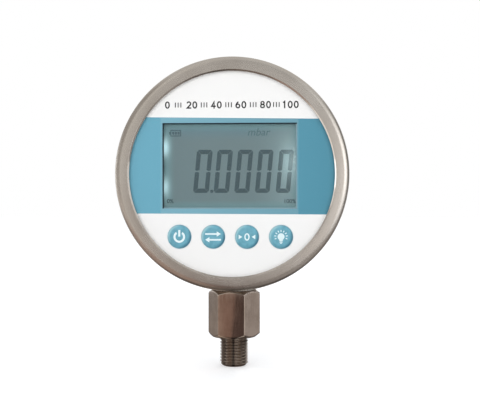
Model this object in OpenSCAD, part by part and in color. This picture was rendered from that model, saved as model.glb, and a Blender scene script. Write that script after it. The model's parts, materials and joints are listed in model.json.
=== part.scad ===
// Digital pressure gauge with a round steel case and a bottom connection, in millimetres.
// The stem runs along Z with its sealing face at Z = 0, and the dial faces -Y with +X to its right.
// Depths are measured from the front face of the bezel towards the back of the case.

/* [Case] */
// Outside diameter of the barrel
case_d = 100; // [96:1:112]
// Sheet thickness of the barrel, the flange and the back wall
case_wall = 1.2; // [0.8:0.1:1.6]
// How far the front flange stands out from the barrel
flange_out = 3.4; // [2.6:0.1:4.5]
// Outside radius where the barrel turns into the back wall
case_corner = 3; // [2:0.1:5]
// Width of the rim that the back wall keeps round the battery opening
rear_rim_w = 10.8; // [9.5:0.1:12]
// Room between the cells and the back wall
rear_room = 0.6; // [0.3:0.1:2]
// Distance from the stem's axis back to the battery tray
stem_to_tray = 1.1; // [0.6:0.1:1.6]

/* [Bezel] */
// Sheet thickness of the bezel
bezel_t = 1.2; // [0.8:0.1:1.6]
// Width of the ring's face
bezel_face_w = 6.5; // [5.8:0.1:7]
// Rounding of the ring's outer edge
bezel_edge = 2.4; // [1.8:0.1:3]
// Rounding of the ring's inner edge
bezel_lip = 0.5; // [0.2:0.1:0.7]
// Room between the case's flange and the bezel's skirt
bezel_play = 0.4; // [0.2:0.1:0.8]
// Room between the barrel and the hook rolled in behind the flange
hook_gap = 0.6; // [0.3:0.1:1.2]

/* [Dial] */
// Thickness of the flat gaskets
gasket_t = 0.8; // [0.5:0.1:1.2]
// Thickness of the printed front sheet
sheet_t = 0.4; // [0.2:0.1:0.6]
// Thickness of the front panel
panel_t = 2.6; // [2.2:0.1:3.4]
// Width of the display window
window_w = 63.2; // [58:0.1:64]
// Height of the display window
window_h = 40.2; // [36:0.1:41]
// Sideways place of the window's middle from the dial's middle
window_x = -1; // [-1.5:0.1:1]
// Height of the window's middle above the dial's middle
window_y = 3.9; // [3.4:0.1:4.6]
// Width of the bevel round the window
window_bevel = 0.5; // [0.2:0.1:0.6]
// Thickness of the clear window plate
lens_t = 1; // [0.8:0.1:1.1]
// How far the clear plate reaches past the window
lens_lap = 1.4; // [1:0.1:1.6]
// Play round and behind the clear plate
lens_gap = 0.2; // [0.1:0.05:0.3]

/* [Keys] */
// Diameter of a key
key_d = 11; // [9:0.1:11.6]
// Distance from key to key
key_pitch = 15.9; // [15:0.1:17]
// Sideways place of the row's middle from the dial's middle
key_row_x = -0.7; // [-1:0.1:1]
// Depth of the row below the dial's middle
key_row_drop = 29.4; // [29:0.1:31]
// How far a key stands out of the front sheet
key_rise = 0.8; // [0.4:0.1:1.1]
// Travel of a key until its switch is pressed home
key_travel = 0.5; // [0.3:0.05:0.7]
// Gap round a key in its hole
key_gap = 0.3; // [0.25:0.05:0.5]
// Width of the collar that keeps a key in
key_collar = 1; // [0.8:0.1:1.3]
// Thickness of that collar
key_collar_t = 0.8; // [0.6:0.1:1]
// Side of a switch housing
switch_w = 6; // [5:0.1:7]
// Height of a switch housing above the board
switch_h = 3.1; // [2.9:0.1:3.3]
// Diameter of a switch plunger
plunger_d = 3.5; // [2.8:0.1:3.8]
// How far a plunger reaches into its housing at rest
plunger_in = 1.2; // [0.8:0.1:1.4]

/* [Display] */
// How far the display glass reaches past the window at the sides
glass_side = 2.4; // [2:0.1:2.8]
// How far the display glass reaches past the window above and below
glass_edge = 1.9; // [1.6:0.1:2.1]
// Thickness of the display glass
glass_t = 2.4; // [2:0.1:2.6]
// Wall of the display frame
frame_wall = 1.2; // [0.8:0.1:1.4]
// Play between the display and its frame
frame_gap = 0.2; // [0.1:0.05:0.3]
// Room the light guide leaves for the pins above it
pin_room = 1.9; // [1.6:0.1:2.2]
// Room beside the light guide for its lamps
lamp_room = 2.4; // [2.2:0.1:3]
// Length of a lamp
lamp_l = 3.2; // [2:0.1:4]
// Width of a lamp
lamp_w = 1.6; // [1:0.1:2]
// Height of a lamp above the board
lamp_h = 1.8; // [1.2:0.1:1.9]
// Number of display pins
pin_count = 22; // [12:1:24]
// Spacing of the display pins
pin_pitch = 2.54; // [2:0.01:2.7]
// Thickness of a pin
pin_t = 0.5; // [0.3:0.1:0.8]

/* [Board] */
// Thickness of the circuit board
board_t = 1.6; // [1:0.1:1.8]
// Play between the board and the barrel
board_gap = 1.5; // [1:0.1:2]
// Height of the board's flat lower edge below the dial's middle
board_drop = 36; // [34.5:0.1:37]
// Height of the panel's posts
post_h = 4.5; // [4.4:0.1:4.8]
// Diameter of the panel's posts
post_d = 6; // [5:0.1:6.4]
// Distance of the posts' axes from the board's edge
post_edge = 3.9; // [3.6:0.1:4.4]
// Room between the display's frame and the upper posts
post_gap = 2.8; // [1.5:0.1:3.5]
// Diameter of the small machine screws and of the spacers' studs
screw_d = 3; // [2.5:0.5:3]
// Length of a spacer
spacer_l = 12; // [11.5:0.1:14]
// Width across the flats of a spacer
spacer_af = 5.5; // [5:0.1:6]
// Depth of a spacer's stud in its post
stud_l = 4; // [3:0.1:4.4]
// Room past the end of a stud or a plunger
end_room = 0.3; // [0.2:0.1:0.4]
// Clearance of a screw in a plain hole
screw_clear = 0.15; // [0.1:0.05:0.3]
// Height of the two wire sockets above the board
socket_h = 7; // [5:0.1:8]
// Depth of the two wire sockets across their pins
socket_w = 5.6; // [4.5:0.1:6.5]
// Length of the battery socket
battery_socket_l = 7.5; // [6:0.1:9]
// Length of the sensor socket
sensor_socket_l = 12.5; // [10:0.1:14]

/* [Batteries] */
// Diameter of a cell
cell_d = 14.5; // [13.5:0.1:15]
// Length of a cell over its nub
cell_l = 50.5; // [48:0.1:52]
// Gap round the cells in their tray
cell_gap = 0.3; // [0.2:0.1:0.6]
// Thickness of the tray's base
tray_t = 2; // [1.5:0.1:2.5]
// Wall of the tray round the cells
tray_wall = 1.6; // [1.2:0.1:2]
// Room for a leaf spring behind a cell
spring_room = 4; // [3:0.1:5]
// Thickness of the end plates and leaf springs
contact_t = 0.5; // [0.3:0.1:0.7]
// Width of the end plates and leaf springs
contact_w = 9; // [6:0.1:10]
// Diameter of a battery lead
lead_d = 1.4; // [1:0.1:1.8]

/* [Rear cover] */
// Sheet thickness of the rear cover
cover_t = 1.2; // [0.8:0.1:2]
// How far the cover's rim stays inside the barrel's outside
cover_inset = 3.5; // [3:0.1:4]
// Height of the raised middle of the cover
cover_step = 1.2; // [0.6:0.1:2]
// Diameter of a cover screw's head
head_d = 5.6; // [5:0.1:6]
// Height of a cover screw's head
head_h = 1.9; // [1.5:0.1:2.4]
// Height of a nut behind the back wall
cover_nut_h = 2.4; // [2:0.1:3]
// Diameter of a nut behind the back wall
cover_nut_d = 6; // [5.5:0.1:6.5]

/* [Stem] */
// Major diameter of the process thread
thread_d = 13.85; // [12:0.01:16]
// Pitch of the process thread
thread_pitch = 1.5; // [1.25:0.05:1.75]
// Length of the threaded stud
thread_l = 14.5; // [12:0.5:20]
// Chamfer at the end of the stud
thread_chamfer = 1.6; // [1:0.1:1.7]
// Diameter of the pressure port
port_d = 4; // [2.5:0.1:6]
// Width of the hexagon across its flats
hex_af = 22; // [21:0.1:24]
// Height of the hexagon
hex_h = 23; // [16:0.5:30]
// Angle of the hexagon about the stem, in degrees
hex_turn = 4; // [0:1:30]
// Slope of the chamfers on the hexagon's corners, in degrees
hex_slope = 38; // [25:1:42]
// Thickness of the washer between the hexagon and the case's boss
washer_t = 1; // [0.5:0.1:2]
// Width of that washer's ring
washer_w = 1; // [0.8:0.1:1.6]
// Height of the boss below the barrel
boss_stand = 5; // [4:0.1:8]
// Height of the boss above the barrel's lowest point
boss_rise = 4; // [3.6:0.1:5]
// Diameter of the boss
boss_d = 26; // [25:0.1:28]
// Diameter of the shank inside the case
shank_d = 18; // [17.8:0.1:18.4]
// Clearance of the shank in the boss
shank_clear = 0.2; // [0.1:0.05:0.4]
// Height of the lock nut
nut_h = 5; // [4:0.1:6]
// Width of the lock nut across its flats
nut_af = 24; // [22:0.1:25]
// Length of the shank between the lock nut and the sensor's seat
shank_spare = 4; // [2:0.1:5]
// Diameter of the sensor capsule
capsule_d = 15; // [13:0.1:15.3]
// Height of the sensor capsule
capsule_h = 6; // [5:0.1:6.5]
// Clearance round the sensor capsule
capsule_clear = 0.1; // [0.05:0.05:0.2]
// Section of the sensor's O-ring
o_ring_t = 1.5; // [1:0.1:1.8]
// Height of the retaining ring
ring_h = 3; // [2:0.1:3.4]
// Bore of the retaining ring
ring_bore_d = 9; // [6:0.1:10]
// Diameter of the sensor lead
sensor_lead_d = 2.2; // [1.5:0.1:2.6]

/* [Hidden] */
$fn = 96;

// One overrun for every cut
over = 1;

// Radii of the case, from the barrel outwards
barrel_r = case_d / 2;
barrel_in_r = barrel_r - case_wall;
flange_r = barrel_r + flange_out;
bezel_r = flange_r + bezel_play + bezel_t;
view_r = bezel_r - bezel_face_w;
hook_r = barrel_r + hook_gap;
opening_r = barrel_in_r - rear_rim_w;
cover_r = barrel_r - cover_inset;
gasket_edge = 0.5;
gasket_in_r = view_r + gasket_edge;
gasket_out_r = bezel_r - bezel_edge - gasket_edge;

// Depths behind the bezel's front face, from front to back
sheet_at = bezel_t + gasket_t;
panel_at = sheet_at + sheet_t;
panel_back = panel_at + panel_t;
flange_at = panel_back + gasket_t;
hook_at = flange_at + case_wall;
board_at = panel_back + post_h;
board_back = board_at + board_t;
tray_at = board_back + spacer_l;
tray_back = tray_at + tray_t;
cell_at = tray_back + cell_gap + cell_d / 2;
wall_at = cell_at + cell_d / 2 + rear_room;
case_back = wall_at + case_wall;
cover_at = case_back + gasket_t;
cover_back = cover_at + cover_t;
stem_setback = tray_at - stem_to_tray;

// Heights along the stem
boss_z = hex_h + washer_t;
dial_z = boss_z + boss_stand + barrel_r;
boss_top = boss_z + boss_stand + boss_rise;
nut_top = boss_top + nut_h;
seat_z = nut_top + shank_spare;
capsule_top = seat_z + capsule_h;
shank_top = capsule_top + ring_h;

// The board and the tray share one outline
board_r = barrel_in_r - board_gap;
hole_d = screw_d + 2 * screw_clear;
thread_play = 0.05;
tapped_r = screw_d / 2 - 3 * thread_play;

// Glass, light guide and clear plate follow the window
glass_w = window_w + 2 * glass_side;
glass_h = window_h + 2 * glass_edge;
frame_w = glass_w + 2 * frame_gap + 2 * frame_wall;
frame_h = glass_h + 2 * frame_gap + 2 * frame_wall;
guide_at = panel_back + glass_t;
frame_top = window_y + frame_h / 2;
frame_bottom = window_y - frame_h / 2;
lamp_shares = [0.21, -0.24];

// Two posts stand above the display's frame, and two between the frame and the row of keys
post_ring_r = board_r - post_edge;
upper_post_y = frame_top + post_gap + post_d / 2;
lower_post_share = 0.56;
lower_post_y = frame_bottom - lower_post_share * (frame_bottom + key_row_drop);
function post_x(y) = sqrt(pow(post_ring_r, 2) - pow(y, 2));
post_places = [for (y = [upper_post_y, lower_post_y], side = [-1, 1]) [side * post_x(y), y]];

// The keys stand in one row, named from left to right
key_names = ["power", "unit", "zero", "light"];
function key_x(i) = key_row_x + (i - (len(key_names) - 1) / 2) * key_pitch;
key_at = sheet_at - key_rise;
key_edge_share = 0.7;
collar_back = panel_back + key_collar_t;
switch_at = board_at - switch_h;

// The rear screws sit midway between the opening and the barrel
cover_screw_r = (opening_r + barrel_in_r) / 2;
cover_screw_angles = [45, 135, 225, 315];
key_share = 2 / 3;
dome_share = 0.6;

// Colours
steel = "#a79c92";
dull_steel = "#8c847c";
rubber_black = "#222222";
print_white = "#f7f7f5";
print_blue = "#6fb2c6";
board_green = "#1f6b45";
brass = "#c9a95a";
plastic_black = "#2b2b2d";
display_grey = "#73898a";

// Points of a round corner about [x, y], from one angle to another
function round_corner(x, y, r, from, to, steps = 6) =
    [for (i = [0:steps]) let (a = from + (to - from) * i / steps) [x + r * cos(a), y + r * sin(a)]];

// The front elevation: x to the right, y up from the dial's middle, z towards the viewer
module on_dial() {
    translate([0, -stem_setback, dial_z]) rotate([90, 0, 0]) children();
}

// A flat piece of the given thickness whose front face lies at a depth
module slab(depth, thick) {
    on_dial() translate([0, 0, -(depth + thick)]) linear_extrude(thick) children();
}

// A turned piece about the dial's axis, from points of radius and depth
module turned(points) {
    on_dial() rotate_extrude() polygon([for (p = points) [p[0], -p[1]]]);
}

// A disc or a ring about the dial's axis
module disc(depth, thick, r, bore_r = 0) {
    slab(depth, thick) difference() {
        circle(r);
        if (bore_r > 0) circle(bore_r);
    }
}

// A rectangle about a middle
module panel_shape(w, h, x = 0, y = 0) {
    translate([x, y]) square([w, h], center = true);
}

// A hexagon of the given width across its flats
module hexagon(af) {
    circle(af / sqrt(3), $fn = 6);
}

// A lead's route: straight out of each end by its own diameter, and one smooth bend between
function bend(a, b, c, d, t) =
    pow(1 - t, 3) * a + 3 * pow(1 - t, 2) * t * b + 3 * (1 - t) * t * t * c + t * t * t * d;
function lead_path(start, out, end, back, reach, d) =
    let (a = start + d * out, b = end + d * back)
        concat(
            [start],
            [for (i = [0:lead_steps]) bend(a, a + reach * out, b + reach * back, b, i / lead_steps)],
            [end]
        );

function cross3(a, b) = [a[1] * b[2] - a[2] * b[1], a[2] * b[0] - a[0] * b[2], a[0] * b[1] - a[1] * b[0]];
function unit3(v) = v / norm(v);
function path_way(path, i) =
    i == 0 ? unit3(path[1] - path[0])
    : i == len(path) - 1 ? unit3(path[i] - path[i - 1])
    : unit3(unit3(path[i + 1] - path[i]) + unit3(path[i] - path[i - 1]));
lead_sides = 8;
lead_steps = 14;

// A round tube along a route, with a ring square to the path at each point
module lead(path, d, side_way) {
    rings = len(path);
    points = [
        for (i = [0:rings - 1])
            let (way = path_way(path, i), u = unit3(cross3(way, side_way)), v = cross3(way, u))
                for (k = [0:lead_sides - 1])
                    path[i] + d / 2 * (cos(360 * k / lead_sides) * u + sin(360 * k / lead_sides) * v)
    ];
    sides = [
        for (i = [0:rings - 2], k = [0:lead_sides - 1])
            let (m = (k + 1) % lead_sides, p = i * lead_sides)
                each [[p + k, p + lead_sides + k, p + m], [p + m, p + lead_sides + k, p + lead_sides + m]]
    ];
    first_cap = [for (k = [1:lead_sides - 2]) [0, k, k + 1]];
    last = (rings - 1) * lead_sides;
    last_cap = [for (k = [1:lead_sides - 2]) [last, last + k + 1, last + k]];
    polyhedron(points, concat(sides, first_cap, last_cap));
}

// The ring: a flat face with a rounded outer edge, a skirt, and a hook rolled in behind the flange
module bezel_ring() {
    skirt_r = bezel_r - bezel_t;
    hook_back = hook_at + bezel_t;
    color(steel) turned(concat(
        [[view_r, bezel_t]],
        round_corner(view_r + bezel_lip, bezel_lip, bezel_lip, 180, 270, 3),
        round_corner(bezel_r - bezel_edge, bezel_edge, bezel_edge, -90, 0),
        [[bezel_r, hook_back], [hook_r, hook_back], [hook_r, hook_at], [skirt_r, hook_at]],
        round_corner(bezel_r - bezel_edge, bezel_edge, bezel_edge - bezel_t, 0, -90, 4)
    ));
}

module bezel_gasket() {
    color(print_white) disc(bezel_t, gasket_t, gasket_out_r, gasket_in_r);
}

module case_gasket() {
    color(rubber_black) disc(panel_back, gasket_t, flange_r, barrel_in_r + gasket_edge);
}

// The printed sheet, cut out for the window and the keys
module front_sheet() {
    color(print_white) slab(sheet_at, sheet_t) difference() {
        circle(flange_r);
        panel_shape(window_w, window_h, window_x, window_y);
        key_holes();
    }
}

module key_holes() {
    for (i = [0:len(key_names) - 1]) translate([key_x(i), -key_row_drop]) circle(key_d / 2 + key_gap);
}

// The plate behind the sheet, with the bevelled window, a rebate for the clear plate and four posts
module front_panel() {
    rebate_w = window_w + 2 * lens_lap + lens_gap;
    rebate_h = window_h + 2 * lens_lap + lens_gap;
    inner_w = window_w - 2 * window_bevel;
    inner_h = window_h - 2 * window_bevel;
    rebate = lens_t + lens_gap;
    stud_room = stud_l + end_room;
    color("#d9dde0") difference() {
        union() {
            slab(panel_at, panel_t) difference() {
                circle(flange_r);
                panel_shape(inner_w, inner_h, window_x, window_y);
                key_holes();
            }
            slab(panel_back, post_h) posts() circle(post_d / 2);
        }
        slab(panel_back - rebate, rebate + over)
            panel_shape(rebate_w, rebate_h, window_x, window_y);
        on_dial() translate([window_x, window_y, -panel_at]) bevel_cut(inner_w, inner_h);
        slab(board_at - stud_room, stud_room + over) posts() circle(screw_d / 2);
    }
}

// A pyramid stump that widens towards the viewer
module bevel_cut(w, h) {
    x0 = w / 2;
    y0 = h / 2;
    x1 = x0 + window_bevel + over;
    y1 = y0 + window_bevel + over;
    polyhedron(
        [
            [-x0, -y0, -window_bevel], [x0, -y0, -window_bevel],
            [x0, y0, -window_bevel], [-x0, y0, -window_bevel],
            [-x1, -y1, over], [x1, -y1, over], [x1, y1, over], [-x1, y1, over]
        ],
        [[0, 1, 2, 3], [7, 6, 5, 4], [0, 4, 5, 1], [1, 5, 6, 2], [2, 6, 7, 3], [3, 7, 4, 0]]
    );
}

module posts() {
    for (p = post_places) translate(p) children();
}

module window_plate() {
    color("#cfe3e6", 0.4) slab(panel_back - lens_gap - lens_t, lens_t)
        panel_shape(window_w + 2 * lens_lap, window_h + 2 * lens_lap, window_x, window_y);
}

// Barrel with its front flange and back wall, and the boss that the stem is screwed through
module case_barrel() {
    inner_corner = case_corner - case_wall;
    color(steel) difference() {
        union() {
            turned(concat(
                [[barrel_in_r, flange_at], [flange_r, flange_at], [flange_r, hook_at], [barrel_r, hook_at]],
                round_corner(barrel_r - case_corner, case_back - case_corner, case_corner, 0, 90),
                [[opening_r, case_back], [opening_r, wall_at]],
                round_corner(barrel_r - case_corner, case_back - case_corner, inner_corner, 90, 0)
            ));
            translate([0, 0, boss_z]) cylinder(boss_top - boss_z, d = boss_d);
        }
        translate([0, 0, boss_z - over])
            cylinder(boss_top - boss_z + 2 * over, d = shank_d + 2 * shank_clear);
        cover_screw_places(wall_at - over, case_wall + 2 * over) circle(hole_d / 2);
    }
}

module cover_screw_places(depth, thick) {
    slab(depth, thick) for (a = cover_screw_angles) rotate(a) translate([cover_screw_r, 0]) children();
}

module rear_gasket() {
    color(rubber_black) difference() {
        disc(case_back, gasket_t, cover_r - gasket_edge, opening_r + gasket_edge);
        cover_screw_places(case_back - over, gasket_t + 2 * over) circle(hole_d / 2);
    }
}

// Pressed sheet with a raised middle
module rear_cover() {
    rise_r = opening_r - head_d / 2;
    top_r = rise_r - cover_step;
    color(steel) difference() {
        turned([
            [0, cover_at + cover_step], [top_r, cover_at + cover_step],
            [rise_r, cover_at], [cover_r, cover_at], [cover_r, cover_back],
            [rise_r + cover_t / 2, cover_back], [top_r + cover_t / 2, cover_back + cover_step],
            [0, cover_back + cover_step]
        ]);
        cover_screw_places(cover_at - over, cover_t + 2 * over) circle(hole_d / 2);
    }
}

// Domed heads with a hexagonal socket
module cover_screws() {
    shank_l = cover_back - wall_at + cover_nut_h + screw_d / 3;
    socket_af = screw_d * key_share;
    dome = head_h * dome_share;
    color(dull_steel) for (a = cover_screw_angles)
        on_dial() rotate(a) translate([cover_screw_r, 0, -cover_back]) rotate([180, 0, 0]) difference() {
            union() {
                rotate_extrude($fn = 48) polygon(concat(
                    [[0, 0], [head_d / 2, 0]],
                    round_corner(head_d / 2 - dome, head_h - dome, dome, 0, 90, 4),
                    [[0, head_h]]
                ));
                translate([0, 0, -shank_l]) cylinder(shank_l + head_h / 4, d = screw_d, $fn = 48);
            }
            translate([0, 0, head_h / 3]) linear_extrude(head_h) hexagon(socket_af);
        }
}

module cover_nuts() {
    color(dull_steel) cover_screw_places(wall_at - cover_nut_h, cover_nut_h) difference() {
        circle(cover_nut_d / 2);
        circle(screw_d / 2 + thread_play);
    }
}

// A raised key with a softened edge, and the collar that keeps it behind the panel
module key(i) {
    top_edge = key_rise * key_edge_share;
    color(print_blue) on_dial() translate([key_x(i), -key_row_drop, 0]) rotate_extrude($fn = 72) polygon([
        for (p = concat(
            [[0, key_at]],
            round_corner(key_d / 2 - top_edge, key_at + top_edge, top_edge, -90, 0, 4),
            [[key_d / 2, panel_back], [key_d / 2 + key_gap + key_collar, panel_back]],
            [[key_d / 2 + key_gap + key_collar, collar_back], [0, collar_back]]
        )) [p[0], -p[1]]
    ]);
}

module power_key() { key(0); }
module unit_key() { key(1); }
module zero_key() { key(2); }
module light_key() { key(3); }

module plunger(i) {
    color("#d8d4c8") slab(collar_back, switch_at + plunger_in - collar_back)
        translate([key_x(i), -key_row_drop]) circle(plunger_d / 2, $fn = 48);
}

module power_plunger() { plunger(0); }
module unit_plunger() { plunger(1); }
module zero_plunger() { plunger(2); }
module light_plunger() { plunger(3); }

// Housings on the board, each with a well for its plunger
module switch_housings() {
    well = plunger_in + key_travel + end_room;
    color(plastic_black) for (i = [0:len(key_names) - 1]) difference() {
        slab(switch_at, switch_h) panel_shape(switch_w, switch_w, key_x(i), -key_row_drop);
        slab(switch_at - over, well + over) translate([key_x(i), -key_row_drop])
            circle(plunger_d / 2 + key_gap, $fn = 48);
    }
}

module display_glass() {
    color(display_grey) slab(panel_back, glass_t) panel_shape(glass_w, glass_h, window_x, window_y);
}

module display_frame() {
    color(plastic_black) slab(panel_back, post_h) difference() {
        panel_shape(frame_w, frame_h, window_x, window_y);
        panel_shape(glass_w + 2 * frame_gap, glass_h + 2 * frame_gap, window_x, window_y);
    }
}

// The guide leaves room for the lamps on its left and for the pins above it
module light_guide() {
    guide_w = glass_w - lamp_room;
    guide_h = glass_h - pin_room;
    color("#eef4f2") slab(guide_at, board_at - guide_at)
        panel_shape(guide_w, guide_h, window_x + lamp_room / 2, window_y - pin_room / 2);
}

module side_lamps() {
    lamp_x = window_x - glass_w / 2 + lamp_room - lamp_w / 2 - frame_gap;
    color("#f3f1d8") for (share = lamp_shares) slab(board_at - lamp_h, lamp_h)
        panel_shape(lamp_w, lamp_l, lamp_x, window_y + share * window_h);
}

module display_pins() {
    pin_y = window_y + glass_h / 2 - pin_room / 2;
    color(brass) slab(guide_at, board_at - guide_at) for (i = [0:pin_count - 1])
        panel_shape(pin_t, pin_t, window_x + (i - (pin_count - 1) / 2) * pin_pitch, pin_y);
}

module board_outline() {
    intersection() {
        circle(board_r);
        translate([-board_r - over, -board_drop]) square([2 * (board_r + over), board_drop + board_r + over]);
    }
}

module circuit_board() {
    color(board_green) slab(board_at, board_t) difference() {
        board_outline();
        posts() circle(hole_d / 2);
    }
}

// A box on the back of the board, placed by shares of the board's radius
module on_board(w, h, tall, place_shares) {
    slab(board_back, tall) panel_shape(w, h, board_r * place_shares[0], board_r * place_shares[1]);
}

chip_side = 12;
chip_t = 1.6;
chip_leg_t = 0.4;
chip_leg_out = 1;
chip_legs = 10;
converter_l = 10;
converter_w = 6;
converter_legs = 8;
main_chip_shares = [-0.1, 0.25];
converter_shares = [0.3, -0.16];
crystal_shares = [-0.42, 0.45];
capacitor_shares = [[0.4, 0.3], [0.58, 0.3], [0.4, 0.5]];
battery_socket_shares = [-0.76, 0];
sensor_socket_shares = [0.44, -0.47];

// A chip body with a row of legs on each of the given sides
module chip(w, h, place_shares, legs_w, legs_h) {
    on_board(w, h, chip_t, place_shares);
    slab(board_back, chip_leg_t) translate(board_r * place_shares) {
        for (i = [0:legs_w - 1])
            panel_shape(chip_leg_t, h + 2 * chip_leg_out, (i - (legs_w - 1) / 2) * w / legs_w);
        if (legs_h > 0) for (i = [0:legs_h - 1])
            panel_shape(w + 2 * chip_leg_out, chip_leg_t, 0, (i - (legs_h - 1) / 2) * h / legs_h);
    }
}

module main_chip() {
    color(plastic_black) chip(chip_side, chip_side, main_chip_shares, chip_legs, chip_legs);
}

module converter_chip() {
    color(plastic_black) chip(converter_l, converter_w, converter_shares, converter_legs, 0);
}

// Sizes of the crystal's oval can and its foot
can_l = 11;
can_w = 4.6;
can_h = 3.5;
foot = 0.3;

module crystal() {
    color("#c9ccce") on_dial() translate(board_r * crystal_shares) translate([0, 0, -board_back]) {
        translate([0, 0, -can_h]) linear_extrude(can_h - foot / 2)
            stadium(can_l - 2 * foot, can_w - 2 * foot);
        translate([0, 0, -foot]) linear_extrude(foot) stadium(can_l, can_w);
    }
}

module stadium(l, w) {
    square([l - w, w], center = true);
    for (s = [-1, 1]) translate([s * (l - w) / 2, 0]) circle(w / 2, $fn = 48);
}

// Round cans on square bases
capacitor_d = 6.3;
capacitor_h = 5.4;
base_h = 1.2;

module capacitors() {
    color("#b9bdc2") for (p = capacitor_shares) {
        slab(board_back, base_h) panel_shape(capacitor_d, capacitor_d, board_r * p[0], board_r * p[1]);
        slab(board_back + base_h / 2, capacitor_h - base_h / 2) translate(board_r * p)
            circle(capacitor_d / 2 - base_h / 4, $fn = 48);
    }
}

// Three rows of small resistors
part_l = 2;
part_w = 1.25;
part_h = 0.6;
part_pitch = 3;
row_shares = [[-0.36, -0.1], [-0.36, -0.2], [0.02, 0.62]];
per_row = 5;

module small_parts() {
    color("#3a3a3c") for (row = row_shares, i = [0:per_row - 1]) slab(board_back, part_h)
        panel_shape(part_w, part_l, board_r * row[0] + i * part_pitch, board_r * row[1]);
}

// A wire socket with its plug seated in it
module socket(l, w, place_shares) {
    on_board(l, w, socket_h, place_shares);
}

module battery_socket() {
    color("#ece8dc") socket(socket_w, battery_socket_l, battery_socket_shares);
}

module sensor_socket() {
    color("#ece8dc") socket(sensor_socket_l, socket_w, sensor_socket_shares);
}

module spacers() {
    color(brass) {
        slab(board_back, spacer_l) posts() difference() {
            hexagon(spacer_af);
            circle(tapped_r);
        }
        slab(board_at - stud_l, stud_l + board_t + spacer_l / 4) posts() circle(screw_d / 2 - thread_play);
    }
}

module tray_screws() {
    tray_screw_l = spacer_l / 2;
    color(dull_steel) {
        slab(tray_back, head_h) posts() difference() {
            circle(head_d / 2);
            hexagon(screw_d * key_share);
        }
        slab(tray_back - tray_screw_l, tray_screw_l + head_h / 4) posts()
            circle(tapped_r - thread_play);
    }
}

// Where the two cells lie, and the box round them
cell_ys = (cell_d / 2 + cell_gap) * [1, -1];
bay_l = cell_l + contact_t + spring_room + contact_t;
bay_h = 2 * cell_d + 4 * cell_gap;
bay_share = 0.75;
bay_deep = cell_gap + cell_d * bay_share;
tab_w = contact_w / 3;
contact_x = bay_l / 2 - contact_t / 2;
nub_d = 5.5;
nub_l = 1.2;
cell_edge = 0.7;

module battery_tray() {
    notch_w = shank_d + 4 * tray_t;
    notch_y = shank_top - dial_z + 3 * tray_t;
    lower_y = shank_top - dial_z - tray_t;
    color(plastic_black) difference() {
        union() {
            slab(tray_at, tray_t) difference() {
                circle(board_r);
                translate([-board_r - over, lower_y - board_r]) square([2 * (board_r + over), board_r]);
                translate([-notch_w / 2, lower_y - over]) square([notch_w, notch_y - lower_y + over]);
                posts() circle(hole_d / 2);
            }
            slab(tray_back - tray_t / 2, bay_deep + tray_t / 2)
                panel_shape(bay_l + 2 * tray_wall, bay_h + 2 * tray_wall);
        }
        slab(tray_back, bay_deep + over) panel_shape(bay_l, bay_h);
        slab(tray_at - over, tray_t + 2 * over) for (y = cell_ys)
            panel_shape(contact_t + cell_gap, tab_w + cell_gap, -contact_x, y);
    }
}

// A cell with its nub; the way is +1 where the nub points to the right
module cell(y, way) {
    nub_end = bay_l / 2 - contact_t;
    on_dial() translate([way * nub_end, y, -cell_at]) rotate([0, -90 * way, 0]) rotate_extrude() polygon([
        [0, 0], [nub_d / 2, 0], [nub_d / 2, nub_l], [cell_d / 2 - cell_edge, nub_l],
        [cell_d / 2, nub_l + cell_edge], [cell_d / 2, cell_l - cell_edge],
        [cell_d / 2 - cell_edge, cell_l], [0, cell_l]
    ]);
}

module upper_cell() { color("#a0522d") cell(cell_ys[0], -1); }
module lower_cell() { color("#a0522d") cell(cell_ys[1], 1); }

// A contact's tab through the tray's base, where a lead is soldered
module contact_tab(y) {
    slab(tray_at - tray_t / 2, 2 * tray_t) panel_shape(contact_t, tab_w, -contact_x, y);
}

// Plates against the nubs
module end_plates() {
    color(brass) {
        slab(tray_back, bay_deep) panel_shape(contact_t, contact_w, -contact_x, cell_ys[0]);
        slab(tray_back, bay_deep) panel_shape(contact_t, contact_w, contact_x, cell_ys[1]);
        contact_tab(cell_ys[0]);
    }
}

// Bent leaves that press on the flat ends
module leaf_springs() {
    color(brass) {
        for (side = [-1, 1]) on_dial()
            translate([0, cell_ys[side < 0 ? 1 : 0] - contact_w / 2, 0]) rotate([-90, 0, 0])
                linear_extrude(contact_w) leaf_outline(side);
        contact_tab(cell_ys[1]);
    }
}

// Side view of a leaf: up the wall, over, and down again in a bow that reaches the cell's end
module leaf_outline(side) {
    wall_x = bay_l / 2;
    strip_x = wall_x - contact_t;
    bow_x = strip_x - spring_room;
    head = tray_back + bay_deep;
    tip = tray_back + 2 * contact_t;
    polygon([for (p = [
        [wall_x, tray_back], [wall_x, head], [strip_x, head],
        [bow_x, cell_at + contact_t], [bow_x, cell_at - contact_t], [bow_x + 2 * contact_t, tip],
        [bow_x + 3 * contact_t, tip], [bow_x + contact_t, cell_at - contact_t],
        [bow_x + contact_t, cell_at + contact_t], [strip_x, head - 2 * contact_t], [strip_x, tray_back]
    ]) [side * p[0], p[1]]]);
}

// Leads from the tray's tabs to the battery socket
module battery_leads() {
    tab_x = -bay_l / 2 + contact_t + lead_d / 2;
    socket_x = board_r * battery_socket_shares[0];
    tab_y = tray_at - tray_t / 4 - stem_setback;
    socket_y = board_back + socket_h - stem_setback;
    way = [0, 1, 0];
    for (i = [0, 1]) {
        start = [tab_x, tab_y, dial_z + cell_ys[i]];
        end = [socket_x, socket_y, dial_z + (1 - 2 * i) * battery_socket_l / 5];
        color(i == 0 ? "#b02020" : "#202020")
            lead(lead_path(start, -way, end, way, 2 * lead_d, lead_d), lead_d, [0, 0, 1]);
    }
}

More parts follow.
